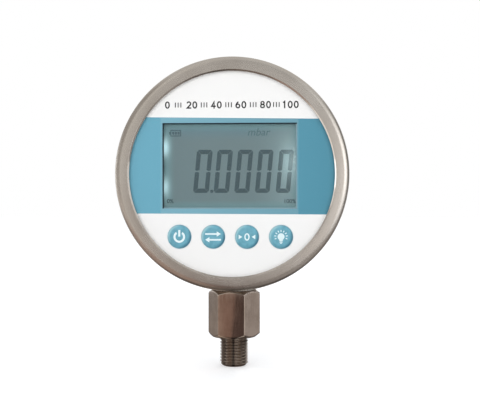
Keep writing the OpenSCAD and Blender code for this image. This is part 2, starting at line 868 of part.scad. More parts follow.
// Lead from the sensor capsule up to the sensor socket
module sensor_lead() {
    start = [0, 0, capsule_top];
    end = [
        board_r * sensor_socket_shares[0], board_back + socket_h - stem_setback,
        dial_z + board_r * sensor_socket_shares[1]
    ];
    color("#c8c8c8") lead(
        lead_path(start, [0, 0, 1], end, [0, 1, 0], sensor_lead_d, sensor_lead_d), sensor_lead_d, [1, 1, 1]
    );
}

// Half outline of the thread: a plain run-out under the hexagon, then crests and roots down the stud
crest_share = 1 / 8;
depth_share = 0.6134;
crest_r = thread_d / 2;
root_r = crest_r - thread_pitch * depth_share;
crest_w = thread_pitch * crest_share;
flank_w = thread_pitch * depth_share * tan(30);
root_w = thread_pitch - crest_w - 2 * flank_w;
run_out = thread_pitch / 2;
thread_turns = floor((thread_l - run_out) / thread_pitch);
hex_edge = 0.45;

function thread_turn(i) =
    let (top = -run_out - i * thread_pitch)
        [
            [crest_r, top], [root_r, top - flank_w], [root_r, top - flank_w - root_w],
            [crest_r, top - 2 * flank_w - root_w]
        ];

module thread_outline() {
    intersection() {
        polygon(concat(
            [[0, over], [crest_r, over]],
            [for (i = [0:thread_turns - 1]) each thread_turn(i)],
            [[crest_r, -thread_l], [0, -thread_l]]
        ));
        polygon([
            [0, over], [crest_r + over, over], [crest_r + over, -thread_l + thread_chamfer + over],
            [crest_r - thread_chamfer, -thread_l], [0, -thread_l]
        ]);
    }
}

// Stud, hexagon and shank in one piece, drilled through for the pressure
module connector_body() {
    corner_r = hex_af / sqrt(3);
    slope = tan(hex_slope);
    hex_drop = (corner_r - hex_af / 2 + hex_edge) * slope;
    capsule_bore = capsule_d + 2 * capsule_clear;
    color(dull_steel) difference() {
        union() {
            rotate_extrude() thread_outline();
            intersection() {
                rotate([0, 0, -hex_turn]) linear_extrude(hex_h) hexagon(hex_af);
                rotate_extrude() polygon([
                    [0, 0], [corner_r - hex_drop / slope, 0], [corner_r, hex_drop],
                    [corner_r + over, hex_drop + over * slope],
                    [corner_r + over, hex_h - hex_drop - over * slope], [corner_r, hex_h - hex_drop],
                    [corner_r - hex_drop / slope, hex_h], [0, hex_h]
                ]);
            }
            cylinder(shank_top, d = shank_d);
        }
        translate([0, 0, -thread_l - over]) cylinder(seat_z + thread_l + 2 * over, d = port_d);
        translate([0, 0, seat_z]) cylinder(shank_top - seat_z + over, d = capsule_bore);
    }
}

module neck_washer() {
    bore_r = shank_d / 2 + shank_clear;
    color("#e8e4dc") translate([0, 0, hex_h]) difference() {
        cylinder(washer_t, r = bore_r + washer_w);
        translate([0, 0, -over]) cylinder(washer_t + 2 * over, r = bore_r);
    }
}

module lock_nut() {
    soft = nut_h / 8;
    color(brass) translate([0, 0, boss_top]) difference() {
        intersection() {
            linear_extrude(nut_h) hexagon(nut_af);
            rotate_extrude() polygon([
                [0, 0], [nut_af / 2, 0], [nut_af / 2 + 4 * soft, 2 * soft],
                [nut_af / 2 + 4 * soft, nut_h - 2 * soft], [nut_af / 2, nut_h], [0, nut_h]
            ]);
        }
        translate([0, 0, -over]) cylinder(nut_h + 2 * over, d = shank_d + shank_clear / 2);
    }
}

// The O-ring is pressed into a groove of these shares of its section
groove_share = 0.85;
groove_half_share = 0.6;
pressed_share = 0.42;

// Oil-filled capsule with a groove for its ring
module sensor_capsule() {
    groove_r = capsule_d / 2 - groove_share * o_ring_t;
    low = capsule_h / 2 - groove_half_share * o_ring_t;
    high = capsule_h / 2 + groove_half_share * o_ring_t;
    color("#b5b9bd") translate([0, 0, seat_z]) rotate_extrude() polygon([
        [0, 0], [capsule_d / 2, 0], [capsule_d / 2, low], [groove_r, low], [groove_r, high],
        [capsule_d / 2, high], [capsule_d / 2, capsule_h], [0, capsule_h]
    ]);
}

module sensor_o_ring() {
    ring_r = capsule_d / 2 - groove_share * o_ring_t / 2;
    color(rubber_black) translate([0, 0, seat_z + capsule_h / 2])
        rotate_extrude() translate([ring_r, 0]) circle(pressed_share * o_ring_t, $fn = 32);
}

module retaining_ring() {
    color(brass) translate([0, 0, capsule_top]) difference() {
        cylinder(ring_h, d = capsule_d + capsule_clear);
        translate([0, 0, -over]) cylinder(ring_h + 2 * over, d = ring_bore_d);
    }
}

bezel_ring();
bezel_gasket();
front_sheet();
front_panel();
window_plate();
case_gasket();
case_barrel();
rear_gasket();
rear_cover();
cover_screws();
cover_nuts();
power_key();
unit_key();
zero_key();
light_key();
power_plunger();
unit_plunger();
zero_plunger();
light_plunger();
switch_housings();
display_glass();
display_frame();
light_guide();
side_lamps();
display_pins();
circuit_board();
main_chip();
converter_chip();
crystal();
capacitors();
small_parts();
battery_socket();
sensor_socket();
spacers();
tray_screws();
battery_tray();
upper_cell();
lower_cell();
end_plates();
leaf_springs();
battery_leads();
sensor_lead();
connector_body();
neck_washer();
lock_nut();
sensor_capsule();
sensor_o_ring();
retaining_ring();
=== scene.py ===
import json
import math
import bpy
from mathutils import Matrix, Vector


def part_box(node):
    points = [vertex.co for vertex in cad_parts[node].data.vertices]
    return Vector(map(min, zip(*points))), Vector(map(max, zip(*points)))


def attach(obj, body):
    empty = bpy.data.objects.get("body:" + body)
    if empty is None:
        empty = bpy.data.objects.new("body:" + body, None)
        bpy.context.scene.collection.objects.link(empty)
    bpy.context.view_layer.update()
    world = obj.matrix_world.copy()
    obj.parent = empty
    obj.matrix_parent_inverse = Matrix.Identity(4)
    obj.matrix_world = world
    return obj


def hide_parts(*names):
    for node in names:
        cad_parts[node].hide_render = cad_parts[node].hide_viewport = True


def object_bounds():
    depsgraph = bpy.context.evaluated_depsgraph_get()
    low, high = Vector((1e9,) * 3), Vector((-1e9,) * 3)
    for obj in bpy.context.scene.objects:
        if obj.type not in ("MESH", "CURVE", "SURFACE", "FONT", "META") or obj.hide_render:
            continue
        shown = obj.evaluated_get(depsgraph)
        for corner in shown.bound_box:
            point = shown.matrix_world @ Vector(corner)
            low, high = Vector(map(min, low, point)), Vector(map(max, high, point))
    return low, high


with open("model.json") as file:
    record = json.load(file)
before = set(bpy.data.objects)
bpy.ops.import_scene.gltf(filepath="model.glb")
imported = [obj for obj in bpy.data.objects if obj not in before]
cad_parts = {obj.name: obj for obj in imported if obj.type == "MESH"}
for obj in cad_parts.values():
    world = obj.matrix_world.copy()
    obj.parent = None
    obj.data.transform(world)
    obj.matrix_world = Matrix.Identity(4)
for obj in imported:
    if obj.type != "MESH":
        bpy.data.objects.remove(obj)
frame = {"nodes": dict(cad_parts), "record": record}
cadBounds = [list(corner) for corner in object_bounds()]
nodes = frame["nodes"]
slotOf = {part["node"]: part["material_slot"] for part in frame["record"]["subparts"]}
mm = 0.001

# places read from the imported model
ringLow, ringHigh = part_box("bezel_ring")
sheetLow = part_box("front_sheet")[0]
dialZ = (ringLow.z + ringHigh.z) / 2  # height of the dial's middle
ringR = (ringHigh.x - ringLow.x) / 2
faceY = ringLow.y  # front face of the ring
sheetY = sheetLow.y  # front face of the printed sheet
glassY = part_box("display_glass")[0].y  # front face of the display


# materials

def srgb(red, green, blue):
    # a colour in 0 to 255, as a picture editor gives it
    def linear(value):
        value = value / 255
        return value / 12.92 if value <= 0.04045 else ((value + 0.055) / 1.055) ** 2.4
    return (linear(red), linear(green), linear(blue), 1.0)


def startMaterial(name, roughness=0.5, metallic=0.0):
    material = bpy.data.materials.new(name)
    material.use_nodes = True
    tree = material.node_tree
    shader = tree.nodes["Principled BSDF"]
    shader.inputs["Roughness"].default_value = roughness
    shader.inputs["Metallic"].default_value = metallic
    return material, tree, shader


def feed(tree, node, key, value):
    if isinstance(value, bpy.types.NodeSocket):
        tree.links.new(value, node.inputs[key])
    else:
        node.inputs[key].default_value = value


def calc(tree, operation, first, second=0.0, third=None):
    node = tree.nodes.new("ShaderNodeMath")
    node.operation = operation
    feed(tree, node, 0, first)
    feed(tree, node, 1, second)
    if third is not None:
        feed(tree, node, 2, third)
    return node.outputs[0]


def times(tree, first, second):
    return calc(tree, "MULTIPLY", first, second)


def blendColour(tree, factor, first, second):
    node = tree.nodes.new("ShaderNodeMix")
    node.data_type = "RGBA"
    feed(tree, node, 0, factor)
    feed(tree, node, 6, first)
    feed(tree, node, 7, second)
    return node.outputs[2]


def ramp(tree, value, start, end, low=0.0, high=1.0):
    # eases from low to high while the value goes from start to end
    node = tree.nodes.new("ShaderNodeMapRange")
    node.interpolation_type = "SMOOTHSTEP"
    feed(tree, node, "Value", value)
    for key, number in (("From Min", start), ("From Max", end), ("To Min", low), ("To Max", high)):
        node.inputs[key].default_value = number
    return node.outputs[0]


def place(tree):
    # the object's own coordinates, apart
    coords = tree.nodes.new("ShaderNodeTexCoord")
    split = tree.nodes.new("ShaderNodeSeparateXYZ")
    tree.links.new(coords.outputs["Object"], split.inputs[0])
    return coords.outputs["Object"], split.outputs


def join(tree, x, y, z):
    node = tree.nodes.new("ShaderNodeCombineXYZ")
    for key, value in enumerate((x, y, z)):
        feed(tree, node, key, value)
    return node.outputs[0]


def grain(tree, vector, perMetre, detail=3.0, rough=0.55):
    node = tree.nodes.new("ShaderNodeTexNoise")
    feed(tree, node, "Vector", vector)
    node.inputs["Scale"].default_value = perMetre
    node.inputs["Detail"].default_value = detail
    node.inputs["Roughness"].default_value = rough
    return node.outputs[0]


def uneven(tree, noise, low=0.0, high=1.0, spread=0.2):
    # a noise stretched to go from low to high; most of a noise lies within the spread of 0.5
    return ramp(tree, noise, 0.5 - spread, 0.5 + spread, low, high)


def bumpUp(tree, shader, height, strength, deep):
    node = tree.nodes.new("ShaderNodeBump")
    feed(tree, node, "Height", height)
    node.inputs["Strength"].default_value = strength
    node.inputs["Distance"].default_value = deep
    feed(tree, shader, "Normal", node.outputs[0])


def fineSkin(tree, shader, where, perMetre, strength, detail=2.0):
    # the fine skin of a moulded, cast or printed surface
    bumpUp(tree, shader, grain(tree, where, perMetre, detail), strength, 0.01 * mm)


def distance(tree, x, z):
    return calc(tree, "SQRT", calc(tree, "ADD", times(tree, x, x), times(tree, z, z)))


def dialPolar(tree, xyz):
    # distance from the dial's axis and angle about it
    up = calc(tree, "SUBTRACT", xyz[2], dialZ)
    return distance(tree, xyz[0], up), calc(tree, "ARCTAN2", up, xyz[0])


def weigh(tree, first, second, share):
    # first and second, mixed with that share of the second
    return calc(tree, "ADD", times(tree, first, 1 - share), times(tree, second, share))


steel = {  # streaks per metre across and along the brushing, then polish, the painted shade on the ring's lower edge, oil with painted shade on the thread, and the hexagon's darker lower edge
    "ringsPerMetre": 9000.0, "roundStretch": 5.0, "acrossBar": 2200.0, "alongBar": 160.0, "barClouds": 140,
    "edgeSoft": 0.3 * mm, "edgeShare": 0.45, "edgeLean": 0.4, "edgeFade": 20 * mm, "edgeShade": srgb(106, 98, 92),
    "polishSoft": 0.1 * mm, "polish": 0.45, "brushDeep": 0.002 * mm,
    "oilAndShade": srgb(52, 46, 42), "oilShadeFrom": -0.6 * mm, "oilShadeTo": 0.2 * mm, "oilShadeShare": 0.22,
    "hexFrontTo": 6 * mm, "hexFrontEnd": 8 * mm, "hexLowTo": 0.7 * mm, "hexLowEnd": 1.6 * mm, "hexShare": 0.4,
}


def turnedSteel(name, bright, dull, roughness, patches=55, polishedTo=0.0, edgeAt=1.0):
    # sheet steel brushed in rings about the dial's axis, with faint clouds from handling;
    # within polishedTo of the axis it is left bright from the turning tool, and past edgeAt it is
    # painted darker on the side that hangs lower, a painted shade
    material, tree, shader = startMaterial(name, roughness, 1.0)
    where, xyz = place(tree)
    radius, angle = dialPolar(tree, xyz)
    s = steel
    rings = join(tree, times(tree, radius, s["ringsPerMetre"]),
                 times(tree, angle, s["roundStretch"]), times(tree, xyz[1], s["ringsPerMetre"]))
    streak = grain(tree, rings, 1.0, 4.0, 0.6)
    cloud = grain(tree, where, patches)
    tone = uneven(tree, weigh(tree, cloud, streak, 0.15))
    hang = calc(tree, "SUBTRACT", xyz[2], calc(tree, "MULTIPLY_ADD", xyz[0], s["edgeLean"], dialZ))
    # painted shade on the lower outer edge
    edge = times(tree, ramp(tree, radius, edgeAt - s["edgeSoft"], edgeAt + s["edgeSoft"], 0.0, s["edgeShare"]),
                 ramp(tree, hang, 0.0, s["edgeFade"], 1.0, 0.0))
    colour = blendColour(tree, edge, blendColour(tree, tone, dull, bright), s["edgeShade"])
    feed(tree, shader, "Base Color", colour)
    rough = uneven(tree, weigh(tree, streak, cloud, 0.6), roughness - 0.03, roughness + 0.04)
    brushed = ramp(tree, radius, polishedTo - s["polishSoft"], polishedTo + s["polishSoft"], s["polish"], 1.0)
    feed(tree, shader, "Roughness", times(tree, rough, brushed))
    bumpUp(tree, shader, streak, 0.06, s["brushDeep"])
    return material


def barSteel(name, bright, dull, roughness):
    # bar milled along its flats and turned on its stud, with a little tarnish
    material, tree, shader = startMaterial(name, roughness, 1.0)
    where, xyz = place(tree)
    s = steel
    lines = join(tree, times(tree, xyz[0], s["acrossBar"]), times(tree, xyz[1], s["acrossBar"]),
                 times(tree, xyz[2], s["alongBar"]))
    streak = grain(tree, lines, 1.0, 4.0, 0.6)
    cloud = grain(tree, where, s["barClouds"])
    colour = blendColour(tree, uneven(tree, weigh(tree, cloud, streak, 0.25), spread=0.18), dull, bright)
    # old oil and painted shade darken the thread, and the lower edge of the flats at front and back is darker
    oiledAndShaded = ramp(tree, xyz[2], s["oilShadeFrom"], s["oilShadeTo"], s["oilShadeShare"], 0.0)
    low = times(tree, ramp(tree, calc(tree, "ABSOLUTE", xyz[0]), s["hexFrontEnd"], s["hexFrontTo"]),
                ramp(tree, xyz[2], s["hexLowEnd"], s["hexLowTo"]))
    darkening = calc(tree, "MAXIMUM", oiledAndShaded, times(tree, low, s["hexShare"]))
    feed(tree, shader, "Base Color", blendColour(tree, darkening, colour, s["oilAndShade"]))
    rough = uneven(tree, streak, roughness - 0.02, roughness + 0.04)
    feed(tree, shader, "Roughness", calc(tree, "MULTIPLY_ADD", oiledAndShaded, 0.12, rough))
    bumpUp(tree, shader, streak, 0.2, s["brushDeep"])
    return material


def plainMetal(name, bright, dull, roughness):
    # small metal pieces, slightly uneven all over
    material, tree, shader = startMaterial(name, roughness, 1.0)
    where = place(tree)[0]
    cloud = grain(tree, where, 400, 4.0)
    feed(tree, shader, "Base Color", blendColour(tree, uneven(tree, cloud, spread=0.15), dull, bright))
    feed(tree, shader, "Roughness", uneven(tree, cloud, roughness - 0.06, roughness + 0.08))
    fineSkin(tree, shader, where, 4800, 0.15)
    return material


def moulded(name, colour, shade, roughness):
    # moulded plastic or rubber: a fine spark-eroded skin and slightly uneven colour
    material, tree, shader = startMaterial(name, roughness)
    where = place(tree)[0]
    cloud = grain(tree, where, 112.5)
    feed(tree, shader, "Base Color", blendColour(tree, uneven(tree, cloud, spread=0.15), shade, colour))
    feed(tree, shader, "Roughness", uneven(tree, cloud, roughness - 0.05, roughness + 0.05))
    fineSkin(tree, shader, where, 3600, 0.25)
    return material


sheetPrint = {
    "bandLow": (60.3 * mm, -0.0039), "bandHigh": (105.28 * mm, -0.0125),  # each edge falls a little to the right
    "white": srgb(253, 251, 248), "left": srgb(92, 169, 192), "right": srgb(50, 139, 163),
    "edge": 0.06 * mm, "leftEnd": -45 * mm, "rightEnd": 52 * mm,
    "pale": srgb(205, 214, 206), "paleFrom": -33.0 * mm, "paleTo": 30.8 * mm, "paleSoft": 0.8 * mm, "paleShare": 0.13,
}


def printedSheet(name):
    # polyester sheet, white with a blue band across its middle
    material, tree, shader = startMaterial(name, 0.42)
    where, xyz = place(tree)
    edge = sheetPrint["edge"]
    inside = None
    for (at, tilt), ends in ((sheetPrint["bandLow"], (0.0, 1.0)), (sheetPrint["bandHigh"], (1.0, 0.0))):
        height = calc(tree, "SUBTRACT", xyz[2], times(tree, xyz[0], tilt))
        past = ramp(tree, height, at - edge, at + edge, *ends)
        inside = past if inside is None else times(tree, inside, past)
    # painted shade: the blue runs from lighter at the left to darker at the right
    across = ramp(tree, xyz[0], sheetPrint["leftEnd"], sheetPrint["rightEnd"])
    ink = grain(tree, where, 2600, 2.0)
    blue = blendColour(tree, across, sheetPrint["left"], sheetPrint["right"])
    blue = blendColour(tree, uneven(tree, ink, 0.0, 0.06, 0.3), blue, sheetPrint["white"])
    # the blue is mixed a little toward a pale tone over and under the window
    soft = sheetPrint["paleSoft"]
    pale = times(tree, ramp(tree, xyz[0], sheetPrint["paleFrom"] - soft, sheetPrint["paleFrom"]),
                 ramp(tree, xyz[0], sheetPrint["paleTo"], sheetPrint["paleTo"] + soft, sheetPrint["paleShare"], 0.0))
    blue = blendColour(tree, pale, blue, sheetPrint["pale"])
    feed(tree, shader, "Base Color", blendColour(tree, inside, sheetPrint["white"], blue))
    feed(tree, shader, "Roughness", uneven(tree, grain(tree, where, 300), 0.38, 0.48))
    fineSkin(tree, shader, where, 9000, 0.08, 1.0)
    return material


def clearPlate(name):
    # clear acrylic with faint wiping marks
    material, tree, shader = startMaterial(name, 0.06)
    shader.inputs["Base Color"].default_value = (0.02, 0.03, 0.03, 1.0)
    shader.inputs["IOR"].default_value = 1.49
    shader.inputs["Alpha"].default_value = 0.06
    wiped = grain(tree, place(tree)[0], 60, 4.0)
    feed(tree, shader, "Roughness", ramp(tree, wiped, 0.35, 0.7, 0.04, 0.1))
    return material


display = {  # spans are where a tone begins and where it is full
    "left": srgb(104, 124, 127), "middle": srgb(106, 125, 127), "middleSpan": (-30 * mm, 6 * mm),
    "right": srgb(135, 161, 163), "rightSpan": (8 * mm, 32 * mm), "rightShare": 0.75,
    "top": srgb(94, 132, 144), "topSpan": (94 * mm, 102.5 * mm), "topAcross": (27 * mm, 2 * mm, 0.1, 0.9),
    "rim": srgb(112, 158, 162), "rimShare": 0.75, "rimLeft": (-26.5 * mm, -31.5 * mm), "rimRight": (26 * mm, 31 * mm),
    "rimLow": (67.5 * mm, 63.2 * mm), "rimHigh": (98.5 * mm, 102.5 * mm),
    "lamps": ((91.7 * mm, 0.7), (73.0 * mm, 0.54)), "lampTall": 4.0 * mm, "lampWide": 2.1 * mm,
    "lampX": -32.2 * mm, "glow": srgb(206, 244, 250), "glowStrength": 0.8, "backlight": 0.07,
    "glare": srgb(184, 214, 216), "glareX": 28.2 * mm, "glareZ": 84.8 * mm, "glareWide": 4.8 * mm,
    "glareTall": 8.5 * mm, "glareShare": 0.92,
    "spark": srgb(206, 228, 226), "sparkX": 29.5 * mm, "sparkWide": 1.1 * mm, "sparkTall": 4.5 * mm,
    "sparkUp": 1.5 * mm,
    "shade": srgb(38, 62, 72), "shadeX": -32.5 * mm, "shadeZ": 102.65 * mm, "shadeSoft": 0.12 * mm,
}


def bell(tree, x, middle, width):
    # 1 at the middle, falling off to 0 like a bell
    apart = calc(tree, "DIVIDE", calc(tree, "SUBTRACT", x, middle), width)
    return calc(tree, "EXPONENT", times(tree, times(tree, apart, apart), -1.0))


def displayTone(tree, xyz):
    # the lit reflector behind the crystal, painted lighter to the right as a painted reflection and along its rim as
    # painted light, with a painted glare near the right end; gives the colour and how much of it is painted glare
    d = display
    base = blendColour(tree, ramp(tree, xyz[0], *d["middleSpan"]), d["left"], d["middle"])
    # painted reflection: the right end lighter
    base = blendColour(tree, ramp(tree, xyz[0], *d["rightSpan"], 0.0, d["rightShare"]), base, d["right"])
    top = times(tree, ramp(tree, xyz[2], *d["topSpan"]), ramp(tree, xyz[0], *d["topAcross"]))
    base = blendColour(tree, top, base, d["top"])
    # painted light along the rim, where the window's recess shades it
    sides = calc(tree, "MAXIMUM", ramp(tree, xyz[0], *d["rimLeft"]), ramp(tree, xyz[0], *d["rimRight"]))
    ends = calc(tree, "MAXIMUM", ramp(tree, xyz[2], *d["rimLow"]), ramp(tree, xyz[2], *d["rimHigh"]))
    rim = times(tree, calc(tree, "MAXIMUM", sides, ends), d["rimShare"])
    base = blendColour(tree, rim, base, d["rim"])
    # a painted glare, with mottled sparks of painted reflection in it
    glare = times(tree, bell(tree, xyz[0], d["glareX"], d["glareWide"]),
                  bell(tree, xyz[2], d["glareZ"], d["glareTall"]))
    glare = times(tree, glare, d["glareShare"])
    sparks = times(tree, bell(tree, xyz[0], d["sparkX"], d["sparkWide"]),
                   bell(tree, xyz[2], d["glareZ"] + d["sparkUp"], d["sparkTall"]))
    patchy = ramp(tree, grain(tree, join(tree, *xyz), 420, 2.0), 0.42, 0.6)
    sparks = times(tree, sparks, patchy)
    base = blendColour(tree, glare, base, d["glare"])
    return blendColour(tree, sparks, base, d["spark"]), calc(tree, "MAXIMUM", glare, sparks)


def liquidCrystal(name):
    # the display's glass, lit from two lamps at its left edge
    material, tree, shader = startMaterial(name, 0.35)
    where, xyz = place(tree)
    # the tone carries the painted reflection and the painted rim light
    base = displayTone(tree, xyz)[0]
    base = blendColour(tree, uneven(tree, grain(tree, where, 1500, 2.0), 0.0, 0.08), base, display["top"])
    glow = None
    for height, strength in display["lamps"]:
        lamp = times(tree, bell(tree, xyz[2], height, display["lampTall"]),
                     bell(tree, xyz[0], display["lampX"], display["lampWide"]))
        lamp = times(tree, lamp, strength)
        glow = lamp if glow is None else calc(tree, "ADD", glow, lamp)
    base = blendColour(tree, calc(tree, "MINIMUM", glow, 1.0), base, display["glow"])
    soft = display["shadeSoft"]  # the frame's shade on the left and upper edges
    shade = calc(tree, "MAXIMUM", ramp(tree, xyz[0], display["shadeX"] - soft, display["shadeX"] + soft, 1.0, 0.0),
                 ramp(tree, xyz[2], display["shadeZ"] - soft, display["shadeZ"] + soft))
    feed(tree, shader, "Base Color", blendColour(tree, shade, base, display["shade"]))
    glow = times(tree, glow, calc(tree, "SUBTRACT", 1.0, shade))
    shader.inputs["Emission Color"].default_value = display["glow"]
    light = calc(tree, "MULTIPLY_ADD", glow, display["glowStrength"], display["backlight"])
    feed(tree, shader, "Emission Strength", light)
    fineSkin(tree, shader, where, 5000, 0.05, 1.0)
    return material


def crystalMark(name, darkness):
    # a driven segment: the display's own tone, darkened, with the painted glare lying over it
    material, tree, shader = startMaterial(name, 0.4)
    where, xyz = place(tree)
    base, glare = displayTone(tree, xyz)
    keep = calc(tree, "SUBTRACT", darkness, times(tree, glare, darkness * 0.6))
    dark = blendColour(tree, uneven(tree, grain(tree, where, 700), spread=0.15), srgb(55, 79, 87), srgb(61, 85, 93))
    feed(tree, shader, "Base Color", blendColour(tree, keep, base, dark))
    return material


keyPaint = {
    "face": srgb(110, 178, 197), "shade": srgb(98, 164, 182), "body": srgb(214, 226, 229), "deep": 0.75 * mm,
    "lit": srgb(168, 216, 224), "low": srgb(54, 112, 136), "litShare": 0.9, "lowShare": 0.75,
    "pitch": 15.9 * mm, "edgeFrom": 3.9 * mm, "edgeTo": 5.3 * mm, "toLow": (0.86, -0.5),
}


def keyBlue(name):
    # blue print on the face of a pale moulded key, with a painted highlight and painted shade on its rim
    material, tree, shader = startMaterial(name, 0.36)
    where, xyz = place(tree)
    k = keyPaint
    cloud = grain(tree, where, 500)
    face = blendColour(tree, uneven(tree, cloud), k["shade"], k["face"])
    # the rim has a painted highlight on the edge that faces up to the left and painted shade on the one opposite;
    # the keys stand in a row, so dx and dz are from the middle of the nearest one
    low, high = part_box("power_key")
    pitch = k["pitch"]
    along = calc(tree, "SUBTRACT", xyz[0], (low.x + high.x) / 2 - pitch / 2)
    dx = calc(tree, "SUBTRACT", calc(tree, "FLOORED_MODULO", along, pitch), pitch / 2)
    dz = calc(tree, "SUBTRACT", xyz[2], (low.z + high.z) / 2)
    rim = ramp(tree, distance(tree, dx, dz), k["edgeFrom"], k["edgeTo"])
    away = calc(tree, "ADD", times(tree, dx, k["toLow"][0]), times(tree, dz, k["toLow"][1]))
    away = calc(tree, "DIVIDE", away, k["edgeTo"])
    rimShade = times(tree, rim, ramp(tree, away, 0.25, 1.0, 0.0, k["lowShare"]))
    rimHighlight = times(tree, rim, ramp(tree, away, -0.2, -1.0, 0.0, k["litShare"]))
    face = blendColour(tree, rimHighlight, blendColour(tree, rimShade, face, k["low"]), k["lit"])
    behind = ramp(tree, xyz[1], low.y + k["deep"], low.y + 2 * k["deep"])
    feed(tree, shader, "Base Color", blendColour(tree, behind, face, k["body"]))
    fineSkin(tree, shader, where, 5000, 0.15)
    return material


windowShade = {
    "left": sheetLow.x + 20.8 * mm, "top": 103.0 * mm, "wide": 0.62 * mm, "tall": 0.52 * mm,
    "black": srgb(30, 46, 54), "pale": srgb(150, 178, 186), "dim": srgb(140, 170, 179),
}


def panelPlastic(name):
    # pale moulding whose window bevel is painted black on the left and above, a painted shade
    material, tree, shader = startMaterial(name, 0.5)
    where, xyz = place(tree)
    w = windowShade
    cloud = grain(tree, where, 110)
    pale = blendColour(tree, uneven(tree, cloud, spread=0.15), w["dim"], w["pale"])
    left = calc(tree, "COMPARE", xyz[0], w["left"], w["wide"])
    top = calc(tree, "COMPARE", xyz[2], w["top"], w["tall"])
    feed(tree, shader, "Base Color", blendColour(tree, calc(tree, "MAXIMUM", left, top), pale, w["black"]))
    fineSkin(tree, shader, where, 3600, 0.25)
    return material


def boardGreen(name):
    # solder mask with tracks that show through it
    material, tree, shader = startMaterial(name, 0.38)
    cells = tree.nodes.new("ShaderNodeTexVoronoi")
    cells.feature = "DISTANCE_TO_EDGE"
    cells.inputs["Scale"].default_value = 240
    tree.links.new(place(tree)[0], cells.inputs["Vector"])
    track = ramp(tree, cells.outputs["Distance"], 0.05, 0.1, 1.0, 0.0)
    feed(tree, shader, "Base Color", blendColour(tree, track, srgb(22, 88, 52), srgb(58, 132, 82)))
    bumpUp(tree, shader, track, 0.3, 0.03 * mm)
    return material


def cellSleeve(name):
    # plain shrink sleeve in two tones, with a pale line between them
    material, tree, shader = startMaterial(name, 0.28)
    where, xyz = place(tree)
    lineX, soft = 12 * mm, 0.2 * mm
    tone = ramp(tree, xyz[0], lineX - soft, lineX + soft)
    line = bell(tree, xyz[0], lineX, 0.5 * mm)
    colour = blendColour(tree, tone, srgb(38, 38, 42), srgb(150, 84, 44))
    feed(tree, shader, "Base Color", blendColour(tree, line, colour, srgb(214, 206, 190)))
    bumpUp(tree, shader, grain(tree, where, 900), 0.1, 0.02 * mm)
    return material


def leadSleeve(name):
    # a red lead above the dial's middle and a black one below it
    material, tree, shader = startMaterial(name, 0.4)
    where, xyz = place(tree)
    soft = 0.1 * mm
    colour = blendColour(tree, ramp(tree, xyz[2], dialZ - soft, dialZ + soft), srgb(30, 30, 32), srgb(168, 34, 34))
    dust = uneven(tree, grain(tree, where, 1200), 0.0, 0.15, 0.3)
    feed(tree, shader, "Base Color", blendColour(tree, dust, colour, srgb(90, 80, 78)))
    return material


steelBright = srgb(205, 200, 194)
steelDull = srgb(197, 191, 184)
black = srgb(34, 34, 36)
finishes = {
    "ring_steel": turnedSteel("ringSteel", steelBright, steelDull, 0.25, polishedTo=ringR - 6.15 * mm,
                              edgeAt=ringR - 1.1 * mm),
    "case_steel": turnedSteel("caseSteel", steelBright, steelDull, 0.36, 40),
    "stem_steel": barSteel("stemSteel", srgb(190, 178, 168), srgb(170, 157, 146), 0.06),
    "screw_steel": plainMetal("screwSteel", srgb(196, 194, 190), srgb(176, 173, 168), 0.28),
    "printed_sheet": printedSheet("printedSheet"),
    "panel_plastic": panelPlastic("panelPlastic"),
    "clear_window": clearPlate("clearWindow"),
    "white_gasket": moulded("whiteGasket", srgb(224, 223, 219), srgb(212, 210, 205), 0.6),
    "black_rubber": moulded("blackRubber", black, srgb(26, 26, 27), 0.62),
    "key_blue": keyBlue("keyBlue"),
    "plunger_plastic": moulded("plungerPlastic", srgb(220, 214, 196), srgb(208, 202, 184), 0.45),
    "black_plastic": moulded("blackPlastic", black, srgb(28, 28, 30), 0.5),
    "display": liquidCrystal("liquidCrystal"),
    "guide_plastic": moulded("guidePlastic", srgb(236, 242, 241), srgb(226, 234, 233), 0.3),
    "bright_brass": plainMetal("brightBrass", srgb(208, 176, 104), srgb(190, 156, 86), 0.26),
    "board_green": boardGreen("boardGreen"),
    "chip_black": moulded("chipBlack", srgb(40, 40, 42), srgb(32, 32, 34), 0.55),
    "can_metal": plainMetal("canMetal", srgb(204, 206, 208), srgb(188, 190, 192), 0.24),
    "socket_plastic": moulded("socketPlastic", srgb(230, 224, 206), srgb(220, 213, 194), 0.45),
    "cell_sleeve": cellSleeve("cellSleeve"),
    "lead_sleeve": leadSleeve("leadSleeve"),
}
for name, part in nodes.items():
    part.data.materials.clear()
    part.data.materials.append(finishes[slotOf[name]])
print("materials made:", len(finishes))


# meshes

def addObject(name, data):
    obj = bpy.data.objects.new(name, data)
    bpy.context.scene.collection.objects.link(obj)
    return obj


def addPiece(name, points, faces, slot, body="gauge", sharp=32, material=None):
    mesh = bpy.data.meshes.new(name)
    mesh.from_pydata(points, [], faces)
    mesh.validate()
    for face in mesh.polygons:
        face.use_smooth = True
    mesh.set_sharp_from_angle(angle=math.radians(sharp))
    mesh.materials.append(material or finishes[slot])
    piece = addObject(name, mesh)
    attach(piece, body)
    return piece


def arc(x, y, r, start, end, steps=8):
    # points of a round stretch about (x, y), angles in degrees
    return [(x + r * math.cos(math.radians(start + (end - start) * i / steps)),
             y + r * math.sin(math.radians(start + (end - start) * i / steps))) for i in range(steps + 1)]


def ringFaces(rows, columns, closed):
    # quads between rows of a turned mesh, wound so that they look outwards
    faces = []
    for i in range(rows if closed else rows - 1):
        for k in range(columns):
            a, b = i * columns, ((i + 1) % rows) * columns
            m = (k + 1) % columns
            faces.append((a + k, a + m, b + m, b + k))
    return faces


def turnedPoints(profile, columns, middleX, middleZ):
    # profile in radius and depth behind the ring's face
    points = []
    for radius, depth in profile:
        for k in range(columns):
            a = 2 * math.pi * k / columns
            points.append((middleX + radius * math.cos(a), faceY + depth, middleZ + radius * math.sin(a)))
    return points


